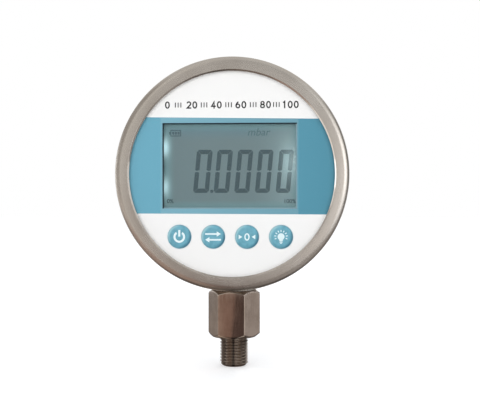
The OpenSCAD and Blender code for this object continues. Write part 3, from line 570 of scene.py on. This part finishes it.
# the bezel ring, turned with softer edges than its solid
bezel = {
    "columns": 256, "faceWide": 6.9 * mm, "sheet": 1.2 * mm, "lip": 0.7 * mm, "lipSoft": 0.1 * mm,
    "lipSlope": 39, "edge": 2.4 * mm, "rollFrom": 52.0 * mm, "rollTo": 26, "corner": 0.4 * mm,
    "hookBack": 8.2 * mm, "hookFront": 7.0 * mm, "hookRadius": 50.6 * mm, "fold": 0.9 * mm,
    "rollSteps": 12, "turnSteps": 6,
}  # slope and end of the roll in degrees


def makeBezel():
    b = bezel
    inner = ringR - b["faceWide"]
    skirt = ringR - b["sheet"]
    roll = b["edge"] - b["sheet"]
    lip, soft = b["lip"], b["lipSoft"]
    low = lip * math.tan(math.radians(b["lipSlope"]))
    slope = [(inner + soft * 0.3, low - soft * 0.1), (inner + lip - soft * 0.25, soft * 0.24)]
    held = [tuple(n + (f - n) * share for n, f in zip(*slope)) for share in (0.08, 0.92)]  # keeps it straight
    profile = [(inner, b["sheet"]), (inner, low + soft), slope[0], *held, slope[1],
               (inner + lip + soft * 0.4, soft * 0.04), (inner + lip + soft, 0)]
    rollR = (ringR - b["corner"] - b["rollFrom"]) / math.sin(math.radians(b["rollTo"]))
    profile += arc(b["rollFrom"], rollR, rollR, -90, b["rollTo"] - 90, b["rollSteps"])
    endR, endDeep = profile[-1]
    turn = math.radians(b["rollTo"])
    profile += arc(endR - b["corner"] * math.sin(turn), endDeep + b["corner"] * math.cos(turn), b["corner"],
                   b["rollTo"] - 90, 0, b["turnSteps"])
    profile += arc(ringR - b["fold"], b["hookBack"] - b["fold"], b["fold"], 0, 90, b["turnSteps"])
    profile += [(b["hookRadius"], b["hookBack"]), (b["hookRadius"], b["hookFront"]), (skirt, b["hookFront"])]
    profile += arc(ringR - b["edge"], b["edge"], roll, 0, -90, b["turnSteps"])
    faces = ringFaces(len(profile), b["columns"], True)
    piece = addPiece("bezelRing", turnedPoints(profile, b["columns"], 0, dialZ), faces, "ring_steel", sharp=40)
    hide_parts("bezel_ring")


makeBezel()
print("bezel made")


# the stem: port, helical thread, hexagon and shank in one surface
stem = {
    "perFlat": 32, "turnDegrees": -4, "halfFlat": 11.1 * mm, "cornerSoft": 0.11 * mm, "chamferSoft": 0.03 * mm,
    "hexHigh": 23.0 * mm, "hexEdge": 0.45 * mm, "slopeDegrees": 38,
    "rowsIn": (0.02, 0.15, 0.4, 0.7, 1.0, 1.3, 1.6, 1.9, 2.3, 3.0),  # mm from either end of the hexagon
    "crest": 6.925 * mm, "pitch": 1.5 * mm, "threadDeep": 0.76 * mm, "studLong": 14.5 * mm,
    "startAt": 0.35 * mm, "startLong": 0.9 * mm, "endChamfer": 1.6 * mm, "endSlope": 1.05, "endSoft": 0.12 * mm,
    "endRound": ((0.7 * mm, 0.0), (0.25 * mm, 0.04 * mm)),  # in from the end's edge and up from its face
    "rowsPerTurn": 20, "port": 2.0 * mm, "portEdge": 0.35 * mm, "under": 0.05 * mm,
    "shank": 9.0 * mm, "shankTop": 51.0 * mm, "topEdge": 0.3 * mm, "seat": 42.0 * mm, "seatBore": 7.6 * mm,
}


def softMin(values, soft):
    # the least of the values, with the corner between two of them rounded off
    low = min(values)
    return low - soft * math.log(sum(math.exp((low - v) / soft) for v in values))


def hexRadius(angle):
    flats = [math.radians(stem["turnDegrees"] + 30 + 60 * i) for i in range(6)]
    reach = [stem["halfFlat"] / math.cos(angle - f) for f in flats if math.cos(angle - f) > 0.4]
    return softMin(reach, stem["cornerSoft"])


def threadRadius(angle, z):
    s = stem
    phase = (z / s["pitch"] - angle / (2 * math.pi)) % 1.0
    away = abs(phase - 0.5) * 2  # 0 at a crest, 1 at a root
    cut = away * away * (3 - 2 * away)
    start = min(max((-z - s["startAt"]) / s["startLong"], 0.0), 1.0)  # the first turn runs out to full crests
    radius = s["crest"] - s["threadDeep"] * cut * start
    cone = s["crest"] - s["endChamfer"] + (z + s["studLong"]) * s["endSlope"]
    return softMin([radius, cone], s["endSoft"])


def stemAngles():
    # closer together at the hexagon's corners, where the rounding is tight
    angles = []
    per = stem["perFlat"]
    for flat in range(6):
        for k in range(per):
            u = 2 * k / per - 1
            bent = math.copysign(1 - (1 - abs(u)) ** 1.5, u)
            angles.append(math.radians(stem["turnDegrees"] + 30 + 60 * flat + 30 * bent))
    return angles


def makeStem():
    s = stem
    angles = stemAngles()
    slope = math.tan(math.radians(s["slopeDegrees"]))
    faceR = s["halfFlat"] - s["hexEdge"]
    rows = []  # each row is a list of (radius, height) round the stem

    def level(radius, z):
        rows.append([(radius, z)] * len(angles))

    def hexLevel(z):
        near = min(z, s["hexHigh"] - z)
        rows.append([(softMin([hexRadius(a), faceR + near / slope], s["chamferSoft"]), z) for a in angles])

    level(s["port"], s["seat"])
    level(s["port"], -s["studLong"] + s["portEdge"])
    level(s["port"] + s["portEdge"], -s["studLong"])
    endR = s["crest"] - s["endChamfer"]
    for inward, rise in s["endRound"]:
        level(endR - inward, -s["studLong"] + rise)
    count = int(s["studLong"] / s["pitch"] * s["rowsPerTurn"])
    for i in range(1, count + 1):
        z = -s["studLong"] * (1 - i / count)
        rows.append([(threadRadius(a, z), z) for a in angles])
    level(faceR - s["under"], 0.0)
    for rise in s["rowsIn"]:
        hexLevel(rise * mm)
    for drop in reversed(s["rowsIn"]):
        hexLevel(s["hexHigh"] - drop * mm)
    level(faceR - s["under"], s["hexHigh"])
    level(s["shank"], s["hexHigh"])
    level(s["shank"], s["shankTop"] - s["topEdge"])
    level(s["shank"] - s["topEdge"], s["shankTop"])
    level(s["seatBore"], s["shankTop"])
    level(s["seatBore"], s["seat"])
    points = [(r * math.cos(a), r * math.sin(a), z) for row in rows for (r, z), a in zip(row, angles)]
    faces = ringFaces(len(rows), len(angles), True)
    piece = addPiece("stem", points, faces, "stem_steel", sharp=50)
    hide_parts("connector_body")


makeStem()
print("stem made")


# flat print: outlines in x and z, a little proud of the face they lie on
def printOutlines(name, outlines, y, thick, slot, material, body="gauge"):
    points, faces = [], []
    for outline in outlines:
        first, n = len(points), len(outline)
        points += [(x, y - thick, z) for x, z in outline] + [(x, y, z) for x, z in outline]
        faces.append(tuple(first + i for i in range(n)))
        faces.append(tuple(first + n + i for i in reversed(range(n))))
        for i in range(n):
            k = (i + 1) % n
            faces.append((first + k, first + i, first + n + i, first + n + k))
    return addPiece(name, points, faces, slot, body, 20, material)


def printWords(name, words, size, x, y, z, material, lean, bold):
    curve = bpy.data.curves.new(name, "FONT")
    curve.body = words
    curve.size = size
    curve.align_x = "CENTER"
    curve.align_y = "CENTER"
    curve.extrude = 0.02 * mm
    curve.shear = lean
    curve.offset = bold
    curve.resolution_u = 6
    curve.materials.append(material)
    piece = addObject(name, curve)
    piece.location = (x, y, z)
    piece.rotation_euler = (math.radians(90), 0, 0)
    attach(piece, "gauge")


def rect(x0, z0, x1, z1):
    return [(x0, z0), (x1, z0), (x1, z1), (x0, z1)]


def ovalPath(x, z, wide, tall, start, end, steps):
    angles = [math.radians(start + (end - start) * i / steps) for i in range(steps + 1)]
    return [(x + wide * math.cos(a), z + tall * math.sin(a)) for a in angles]


# the keys: domed caps with a printed sign each
keys = {
    "columns": 128, "cap": 5.5 * mm, "collar": 6.8 * mm, "collarThick": 0.8 * mm, "hub": 0.02 * mm,
    "edgeWide": 1.6 * mm, "edgeDeep": 0.85 * mm, "edgeSteps": 10, "crown": 0.03 * mm, "crownAt": (0.3, 0.6, 0.85),
    "print": 0.03 * mm, "sunk": 0.01 * mm, "colour": srgb(240, 253, 254), "shade": srgb(230, 248, 250),
    "sealIn": 5.6 * mm, "sealOut": 5.79 * mm, "sealDeep": (0.04 * mm, 0.36 * mm),
    "sealColour": srgb(214, 234, 239), "sealShade": srgb(200, 224, 230),
}


# the signs are outlines in mm about the key's middle
def powerSign():
    # a ring open at the top, with a bar in the gap
    ring = arc(0, -0.05, 2.75, 122, 418, 40) + list(reversed(arc(0, -0.05, 1.75, 128, 412, 40)))
    return [ring, rect(-0.5, 0.1, 0.5, 3.2)]


def unitSign():
    # one arrow each way, for changing over
    arrow = [(-3.7, -0.4), (1.7, -0.4), (1.7, -1.25), (3.7, 0), (1.7, 1.25), (1.7, 0.4), (-3.7, 0.4)]
    apart = 1.35
    return [[(x, z + apart) for x, z in arrow], [(-x, z - apart) for x, z in reversed(arrow)]]


def zeroSign():
    # a nought with a pointer on either side
    wide, tall, stroke, steps = 1.25, 1.75, 0.62, 32
    halves = []
    for side in (-90, 90):
        inside = ovalPath(0, 0, wide - stroke, tall - stroke, side, side + 180, steps)
        halves.append(ovalPath(0, 0, wide, tall, side, side + 180, steps) + list(reversed(inside)))
    right = [(2.2, 0), (3.9, -1.1), (3.9, 1.1)]
    return halves + [right, [(-x, z) for x, z in reversed(right)]]


def lightSign():
    # a lamp bulb on its cap, with rays
    top, near, far, half = 0.15, 2.25, 3.15, 0.22
    bulb = arc(0, top, 1.62, -38, 218, 28) + [(-0.9, -1.3), (-0.7, -1.95), (0.7, -1.95), (0.9, -1.3)]
    shapes = [bulb, rect(-0.7, -2.6, 0.7, -2.15), rect(-0.42, -3.15, 0.42, -2.8)]
    for i in range(9):
        a = math.radians(-20 + 220 * i / 8)
        x, z = math.cos(a), math.sin(a)
        shapes.append([(x * reach - z * side, top + z * reach + x * side)
                       for reach, side in ((near, -half), (far, -half), (far, half), (near, half))])
    return shapes


def makeKeys():
    k = keys
    legend = moulded("legendPrint", k["colour"], k["shade"], 0.4)
    sealRubber = moulded("sealRubber", k["sealColour"], k["sealShade"], 0.5)
    for name, sign in (("power", powerSign), ("unit", unitSign), ("zero", zeroSign), ("light", lightSign)):
        low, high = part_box(name + "_key")
        x, z = (low.x + high.x) / 2, (low.z + high.z) / 2
        front, back = low.y - faceY, high.y - faceY
        capR = (high.x - low.x) / 2 - (k["collar"] - k["cap"])
        flat = capR - k["edgeWide"]
        profile = [(k["hub"], front)]
        profile += [(flat * share, front + k["crown"] * share ** 4) for share in k["crownAt"]]
        profile += [(flat + k["edgeWide"] * (1 - math.cos(t)) ** 0.5 * math.sin(t) ** 0.5,
                     front + k["crown"] + k["edgeDeep"] * (1 - math.cos(t)))
                    for t in (math.radians(90 * i / k["edgeSteps"]) for i in range(k["edgeSteps"] + 1))]
        profile += [(capR, back - k["collarThick"]), (k["collar"], back - k["collarThick"]), (k["collar"], back),
                    (k["hub"], back)]
        points = turnedPoints(profile, k["columns"], x, z)
        faces = ringFaces(len(profile), k["columns"], False)
        last = (len(profile) - 1) * k["columns"]
        faces.append(tuple(reversed(range(k["columns"]))))
        faces.append(tuple(last + i for i in range(k["columns"])))
        piece = addPiece(name + "Key", points, faces, "key_blue", name + "_button", 40)
        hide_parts(name + "_key")
        outlines = [[(x + px * mm, z + pz * mm) for px, pz in shape] for shape in sign()]
        printOutlines(name + "Sign", outlines, low.y + k["sunk"], k["print"], "key_blue", legend, name + "_button")
        near, far = (sheetY - faceY + deep for deep in k["sealDeep"])
        seal = turnedPoints([(k["sealIn"], near), (k["sealOut"], near), (k["sealOut"], far), (k["sealIn"], far)],
                            k["columns"], x, z)
        addPiece(name + "Seal", seal, ringFaces(4, k["columns"], True), "white_gasket", material=sealRubber)


makeKeys()
print("keys made")


# the display: five noughts, a battery sign, a unit and the ends of the bar
digits = {
    "count": 5, "left": -18.45 * mm, "bottom": 70.22 * mm, "pitch": 9.75 * mm, "wide": 7.42 * mm,
    "narrower": 0.17 * mm, "tall": 20.3 * mm, "stroke": 2.03 * mm, "gap": 0.08 * mm, "corner": 0.85 * mm,
    "waist": 0.2 * mm, "lean": 0.096, "thick": 0.03 * mm,
    "pointX": -9.55 * mm, "pointZ": 70.95 * mm, "pointR": 0.78 * mm,
}
cellSign = {"x": -29.2 * mm, "z": 96.9 * mm, "wide": 5.1 * mm, "tall": 3.1 * mm, "line": 0.45 * mm, "bar": 0.9 * mm}
displayWords = (  # name, words, size, middle in x and z, finish, lean, boldness
    ("measureSign", "mbar", 5.0 * mm, 12.4 * mm, 98.7 * mm, "faint", 0.25, 0.02 * mm),
    ("lowEnd", "0%", 2.7 * mm, -29.3 * mm, 66.2 * mm, "small", 0.0, 0.04 * mm),
    ("highEnd", "100%", 2.7 * mm, 27.2 * mm, 66.2 * mm, "small", 0.0, 0.04 * mm),
)


def noughtOutlines(left, wide):
    # the upper bar and the upper left one, mirrored to six; w, h, t, g and c are the nought's width and
    # height, its stroke, the gap between two bars and the cut of its corners
    d = digits
    w, h, t, g, c = wide, d["tall"], d["stroke"], d["gap"], d["corner"]
    top = [(c + g, h), (w - c - g, h), (w - g - c * 0.45, h - c * 0.55), (w - t - g, h - t), (t + g, h - t),
           (g + c * 0.45, h - c * 0.55)]
    upper = [(0, h - c - g), (0, h / 2 + t * 0.28), (t * 0.4, h / 2 + d["waist"]), (t, h / 2 + t * 0.3),
             (t, h - t - g * 1.6), (c * 0.5, h - c * 0.5 - g * 1.6)]
    shapes = [top, upper, [(w - x, z) for x, z in reversed(upper)]]
    shapes += [[(x, h - z) for x, z in reversed(shape)] for shape in shapes]
    return [[(left + x + z * d["lean"], d["bottom"] + z) for x, z in reversed(shape)] for shape in shapes]


def makeDisplay():
    d = digits
    finish = {name: crystalMark(name + "Mark", darkness)
              for name, darkness in (("crystal", 0.77), ("faint", 0.5), ("small", 1.0))}
    outlines = []
    for i in range(d["count"]):
        outlines += noughtOutlines(d["left"] + i * d["pitch"], d["wide"] - i * d["narrower"])
    outlines.append(arc(d["pointX"], d["pointZ"], d["pointR"], 0, 345, 23))
    printOutlines("digits", outlines, glassY, d["thick"], "display", finish["crystal"])
    x, z, w, h, line = (cellSign[key] for key in ("x", "z", "wide", "tall", "line"))
    sign = [rect(x, z, x + w, z + line), rect(x, z + h - line, x + w, z + h),
            rect(x, z + line, x + line, z + h - line), rect(x + w - line, z + line, x + w, z + h - line),
            rect(x - line * 1.3, z + h * 0.3, x, z + h * 0.7)]
    sign += [rect(x + w * share, z + 2 * line, x + w * share + cellSign["bar"], z + h - 2 * line)
             for share in (0.18, 0.43, 0.68)]
    printOutlines("cellSign", sign, glassY, d["thick"], "display", finish["faint"])
    for name, words, size, x, z, look, lean, bold in displayWords:
        printWords(name, words, size, x, glassY, z, finish[look], lean, bold)


makeDisplay()
print("display made")


# plain numbers over the window, with short lines between them
scaleRow = {
    "numbers": (0, 20, 40, 60, 80, 100), "left": -30.2 * mm, "right": 27.4 * mm, "z": 109.7 * mm,
    "wide": 2.3 * mm, "tall": 3.45 * mm, "stroke": 0.62 * mm, "apart": 0.5 * mm,
    "tickTall": 2.3 * mm, "tickWide": 0.45 * mm, "ticks": 3, "tickPitch": 1.3 * mm, "steps": 20, "thick": 0.02 * mm,
}


def strokeOutline(path, wide):
    # the outline of an open line of that width, its corners mitred
    sides = ([], [])
    for i, (x, z) in enumerate(path):
        way = [Vector(path[k + 1]) - Vector(path[k]) for k in (i - 1, i) if 0 <= k < len(path) - 1]
        normals = [Vector((-w.y, w.x)).normalized() for w in way]
        mitre = sum(normals, Vector((0, 0))).normalized()
        reach = wide / 2 / max(mitre.dot(normals[0]), 0.4)
        for side, sign in zip(sides, (-1, 1)):
            side.append((x + sign * mitre.x * reach, z + sign * mitre.y * reach))
    return sides[0] + list(reversed(sides[1]))


def numeral(digit, x, z):
    # x and z are the lower left corner; the strokes' middles run half a stroke inside the box
    s = scaleRow
    t = s["stroke"]
    w, h = s["wide"] - t, s["tall"] - t
    x, z = x + t / 2, z + t / 2

    def curve(middleX, middleZ, wide, tall, start, end):
        # a stretch of an oval, its place and size in shares of the box
        return ovalPath(x + middleX * w, z + middleZ * h, wide * w, tall * h, start, end, s["steps"])

    def oval(low, high, wide=0.5):
        return [curve(0.5, (low + high) / 2, wide, (high - low) / 2, side, side + 180) for side in (-90, 90)]

    paths = {
        "0": oval(0, 1),
        "1": [[(x + 0.2 * w, z + 0.8 * h), (x + 0.62 * w, z + h), (x + 0.62 * w, z - t / 2)]],
        "2": [curve(0.5, 0.7, 0.5, 0.3, 165, -30) + [(x + 0.05 * w, z), (x + w + t / 2, z)]],
        "4": [[(x + w + t / 2, z + 0.27 * h), (x + 0.02 * w, z + 0.27 * h), (x + 0.7 * w, z + h),
               (x + 0.7 * w, z - t / 2)]],
        "6": oval(0, 0.6) + [curve(1, 0.3, 1, 0.7, 180, 110)],
        "8": oval(0, 0.54) + oval(0.54, 1, 0.42),
    }
    return [strokeOutline(path, t) for path in paths[digit]]


def makeScale():
    s = scaleRow
    ink = moulded("blackInk", srgb(24, 24, 26), srgb(34, 34, 36), 0.5)
    step = (s["right"] - s["left"]) / (len(s["numbers"]) - 1)
    advance = s["wide"] + s["apart"]
    marks, ends = [], []
    for i, number in enumerate(s["numbers"]):
        words = str(number)
        start = s["left"] + i * step - (len(words) * advance - s["apart"]) / 2
        ends.append((start, start + len(words) * advance - s["apart"]))
        for k, digit in enumerate(words):
            marks += numeral(digit, start + k * advance, s["z"])
    printOutlines("scaleNumbers", marks, sheetY, s["thick"], "printed_sheet", ink)
    ticks = []
    low = s["z"] + (s["tall"] - s["tickTall"]) / 2
    for before, after in zip(ends, ends[1:]):
        middle = (before[1] + after[0]) / 2
        for k in range(s["ticks"]):
            x = middle + (k - (s["ticks"] - 1) / 2) * s["tickPitch"] - s["tickWide"] / 2
            ticks.append(rect(x, low, x + s["tickWide"], low + s["tickTall"]))
    printOutlines("scaleTicks", ticks, sheetY, s["thick"], "printed_sheet", ink)


makeScale()
print("scale made")


# the stage, in metres: a pale floor, soft lamps and cards that only the metal sees
stage = {
    "floorSize": 6.0, "floorColour": (0.86, 0.86, 0.86, 1.0), "floorLift": 0.42,
    "worldColour": (0.93, 0.96, 1.0, 1.0), "worldStrength": 0.7,
}


def looked(tree):
    # 1 where a surface is looked at, straight, in a mirror or through glass, and 0 where it only lights
    path = tree.nodes.new("ShaderNodeLightPath")
    return calc(tree, "MAXIMUM", path.outputs["Is Camera Ray"],
                calc(tree, "MAXIMUM", path.outputs["Is Glossy Ray"], path.outputs["Is Transmission Ray"]))


def makeFloor():
    half = stage["floorSize"] / 2
    z = cadBounds[0][2]
    mesh = bpy.data.meshes.new("floor")
    mesh.from_pydata([(x, y, z) for x, y in rect(-half, -half, half, half)], [], [(0, 1, 2, 3)])
    floor = addObject("floor", mesh)
    material, tree, shader = startMaterial("floorPaper", 0.9)
    shader.inputs["Base Color"].default_value = stage["floorColour"]
    shader.inputs["Emission Color"].default_value = (1, 1, 1, 1)
    feed(tree, shader, "Emission Strength", times(tree, looked(tree), stage["floorLift"]))
    mesh.materials.append(material)


def makeWorld():
    world = bpy.data.worlds.new("studio")
    bpy.context.scene.world = world
    world.use_nodes = True
    tree = world.node_tree
    seen = looked(tree)
    shader = tree.nodes["Background"]
    feed(tree, shader, "Color", blendColour(tree, seen, stage["worldColour"], (1, 1, 1, 1)))
    feed(tree, shader, "Strength", ramp(tree, seen, 0.0, 1.0, stage["worldStrength"], 1.0))


lamps = {
    "key": {"at": (-0.35, -1.1, 0.5), "size": (0.9, 0.9), "watts": 4.0},
    "side": {"at": (0.85, -0.75, 0.25), "size": (0.18, 0.9), "watts": 1.4},
    "back": {"at": (0.3, 0.9, 0.7), "size": (0.8, 0.4), "watts": 2.0},
}
lampTarget = Vector((0, 0, dialZ - 20 * mm))


def makeLamps():
    for name, lamp in lamps.items():
        light = bpy.data.lights.new(name + "Lamp", "AREA")
        light.shape = "RECTANGLE"
        light.size, light.size_y = lamp["size"]
        light.energy = lamp["watts"]
        obj = addObject(name + "Lamp", light)
        obj.location = lamp["at"]
        obj.rotation_euler = (lampTarget - obj.location).to_track_quat("-Z", "Y").to_euler()
        obj.visible_glossy = False


cards = {
    "lift": 0.1 * mm, "stepDegrees": 3, "wallAt": 1.0, "lidAt": 0.8,
    "bench": (  # azimuths about the stem, inner and outer radius, colour: flat on the floor
        (-180, -152, 0.012, 0.05, (0.21, 0.17, 0.15)), (-152, -144, 0.012, 0.05, (0.5, 0.4, 0.33)),
        (-144, -110, 0.012, 0.05, (0.95, 0.78, 0.66)), (-110, -101, 0.012, 0.05, (0.42, 0.33, 0.28)),
        (-101, -84, 0.012, 0.05, (0.02, 0.015, 0.012)), (-84, -67, 0.012, 0.05, (0.95, 0.9, 0.84)),
        (-67, -58, 0.012, 0.05, (0.2, 0.18, 0.16)), (-58, -31, 0.012, 0.05, (1.25, 1.16, 1.06)),
        (-31, -8, 0.012, 0.05, (0.05, 0.04, 0.035)), (-8, 22, 0.012, 0.05, (0.26, 0.24, 0.23)),
        (22, 60, 0.012, 0.05, (0.09, 0.08, 0.075)), (60, 148, 0.012, 0.05, (0.13, 0.11, 0.1)),
        (148, 180, 0.012, 0.05, (0.4, 0.34, 0.29)),
        (-180, -97, 0.05, 0.09, (0.21, 0.17, 0.145)), (-97, -83, 0.05, 0.09, (0.1, 0.085, 0.075)),
        (-83, -30, 0.05, 0.09, (0.17, 0.15, 0.14)), (-30, 180, 0.05, 0.09, (0.15, 0.13, 0.12)),
        (-180, -97, 5.6 * mm, 0.012, (0.16, 0.13, 0.11)), (-97, -83, 5.6 * mm, 0.012, (0.02, 0.015, 0.012)),
        (-83, 180, 5.6 * mm, 0.012, (0.16, 0.13, 0.11)),
        (-180, -166, 0.09, 1.0, (0.3, 0.28, 0.26)), (-166, -148, 0.09, 1.0, (1.3, 1.27, 1.22)),
        (-148, -103, 0.09, 0.35, (0.47, 0.345, 0.29)), (-103, -100.7, 0.09, 0.35, (0.39, 0.26, 0.214)),
        (-100.7, -89, 0.09, 0.35, (0.13, 0.09, 0.08)),
        (-89, -74, 0.09, 0.35, (0.33, 0.29, 0.27)), (-74, -14, 0.09, 0.35, (0.40, 0.37, 0.35)),
        (-14, 6, 0.09, 0.3, (1.5, 1.42, 1.35)), (6, 90, 0.09, 0.35, (0.52, 0.48, 0.46)),
        (90, 140, 0.09, 0.35, (0.35, 0.32, 0.3)), (140, 180, 0.09, 0.35, (0.4, 0.355, 0.325)),
        (-148, -100, 0.35, 1.0, (0.8, 0.74, 0.69)), (-100, -90, 0.35, 1.0, (0.27, 0.24, 0.23)),
        (-90, -74, 0.35, 1.0, (0.6, 0.57, 0.55)), (-74, -52, 0.35, 1.0, (1.1, 1.1, 1.1)),
        (-52, 0, 0.35, 1.0, (0.36, 0.35, 0.34)),
    ),
    "wall": (  # azimuths, lower and upper height over the floor, colour: standing at the bench's edge
        (-115, -101.5, 0.0, 0.8, (0.86, 0.83, 0.78)), (-151, -115, 0.0, 0.8, (0.42, 0.39, 0.36)),
        (-172, -151, 0.0, 0.24, (2.4, 2.4, 2.4)), (-172, -151, 0.24, 0.42, (1.1, 1.08, 1.05)),
        (-172, -151, 0.42, 0.8, (0.62, 0.6, 0.58)),
        (-195, -172, 0.0, 0.8, (0.35, 0.33, 0.31)),
        (0, 70, 0.0, 0.35, (0.2, 0.19, 0.18)),
        (-101.5, -89, 0.0, 0.12, (0.34, 0.3, 0.28)), (-101.5, -89, 0.12, 0.8, (0.54, 0.52, 0.5)),
        (-89, -74, 0.0, 0.16, (1.4, 1.36, 1.32)), (-89, -74, 0.16, 0.8, (0.5, 0.49, 0.47)),
        (-74, -54, 0.0, 0.28, (2.5, 2.5, 2.5)), (-74, -54, 0.28, 0.45, (1.3, 1.3, 1.28)),
        (-74, -48, 0.45, 0.8, (0.75, 0.74, 0.72)), (-54, -48, 0.0, 0.45, (1.2, 1.2, 1.18)),
        (-48, -26, 0.0, 0.8, (0.33, 0.32, 0.31)), (-26, 0, 0.0, 0.8, (1.0, 1.0, 0.99)),
        (120, 165, 0.0, 0.8, (0.4, 0.37, 0.34)),
    ),
    "lid": (  # azimuths, inner and outer radius, colour: the ceiling
        (0, 180, 0.0, 1.0, (1.0, 0.98, 0.94)), (-180, 0, 0.0, 0.08, (0.9, 0.88, 0.84)),
        (-180, 0, 0.08, 0.32, (0.48, 0.46, 0.44)), (-180, 0, 0.32, 1.0, (0.72, 0.7, 0.67)),
    ),
}


def addCard(name, points, faces, colour):
    # a flag that is seen in reflections alone
    mesh = bpy.data.meshes.new(name)
    mesh.from_pydata(points, [], faces)
    obj = addObject(name, mesh)
    material = bpy.data.materials.new(name)
    material.use_nodes = True
    tree = material.node_tree
    glow = tree.nodes.new("ShaderNodeEmission")
    glow.inputs["Color"].default_value = (*colour, 1)
    tree.links.new(glow.outputs[0], tree.nodes["Material Output"].inputs["Surface"])
    mesh.materials.append(material)
    obj.visible_camera = False
    obj.visible_diffuse = False
    obj.visible_shadow = False
    obj.visible_transmission = False


def makeCards():
    floorZ = cadBounds[0][2] + cards["lift"]

    def sweep(start, end, inner, outer):
        # a band between two rows of points, each given as (radius, height)
        steps = max(1, int((end - start) / cards["stepDegrees"]))
        points, faces = [], []
        for i in range(steps + 1):
            a = math.radians(start + (end - start) * i / steps)
            points += [(r * math.cos(a), r * math.sin(a), z) for r, z in (inner, outer)]
            if i < steps:
                faces.append((2 * i, 2 * i + 1, 2 * i + 3, 2 * i + 2))
        return points, faces

    for kind in ("bench", "wall", "lid"):
        height = floorZ + (cards["lidAt"] if kind == "lid" else 0)
        for i, (start, end, low, high, colour) in enumerate(cards[kind]):
            if kind == "wall":
                ends = (cards["wallAt"], floorZ + low), (cards["wallAt"], floorZ + high)
            else:
                ends = (low, height), (high, height)
            addCard("%sCard%d" % (kind, i), *sweep(start, end, *ends), colour)


shot = {"at": (24.76 * mm, -425.27 * mm, 68.49 * mm), "yawDegrees": 2.94, "pitchDegrees": -0.593, "lens": 65.0}


def makeCamera():
    data = bpy.data.cameras.new("camera")
    data.lens = shot["lens"]
    data.sensor_width = 36.0
    data.clip_start = 0.01
    camera = addObject("camera", data)
    camera.location = shot["at"]
    camera.rotation_euler = (math.radians(90 + shot["pitchDegrees"]), 0, math.radians(shot["yawDegrees"]))
    bpy.context.scene.camera = camera


makeFloor()
makeWorld()
makeLamps()
makeCards()
makeCamera()
bpy.context.scene.view_settings.view_transform = "Standard"
print("stage set")
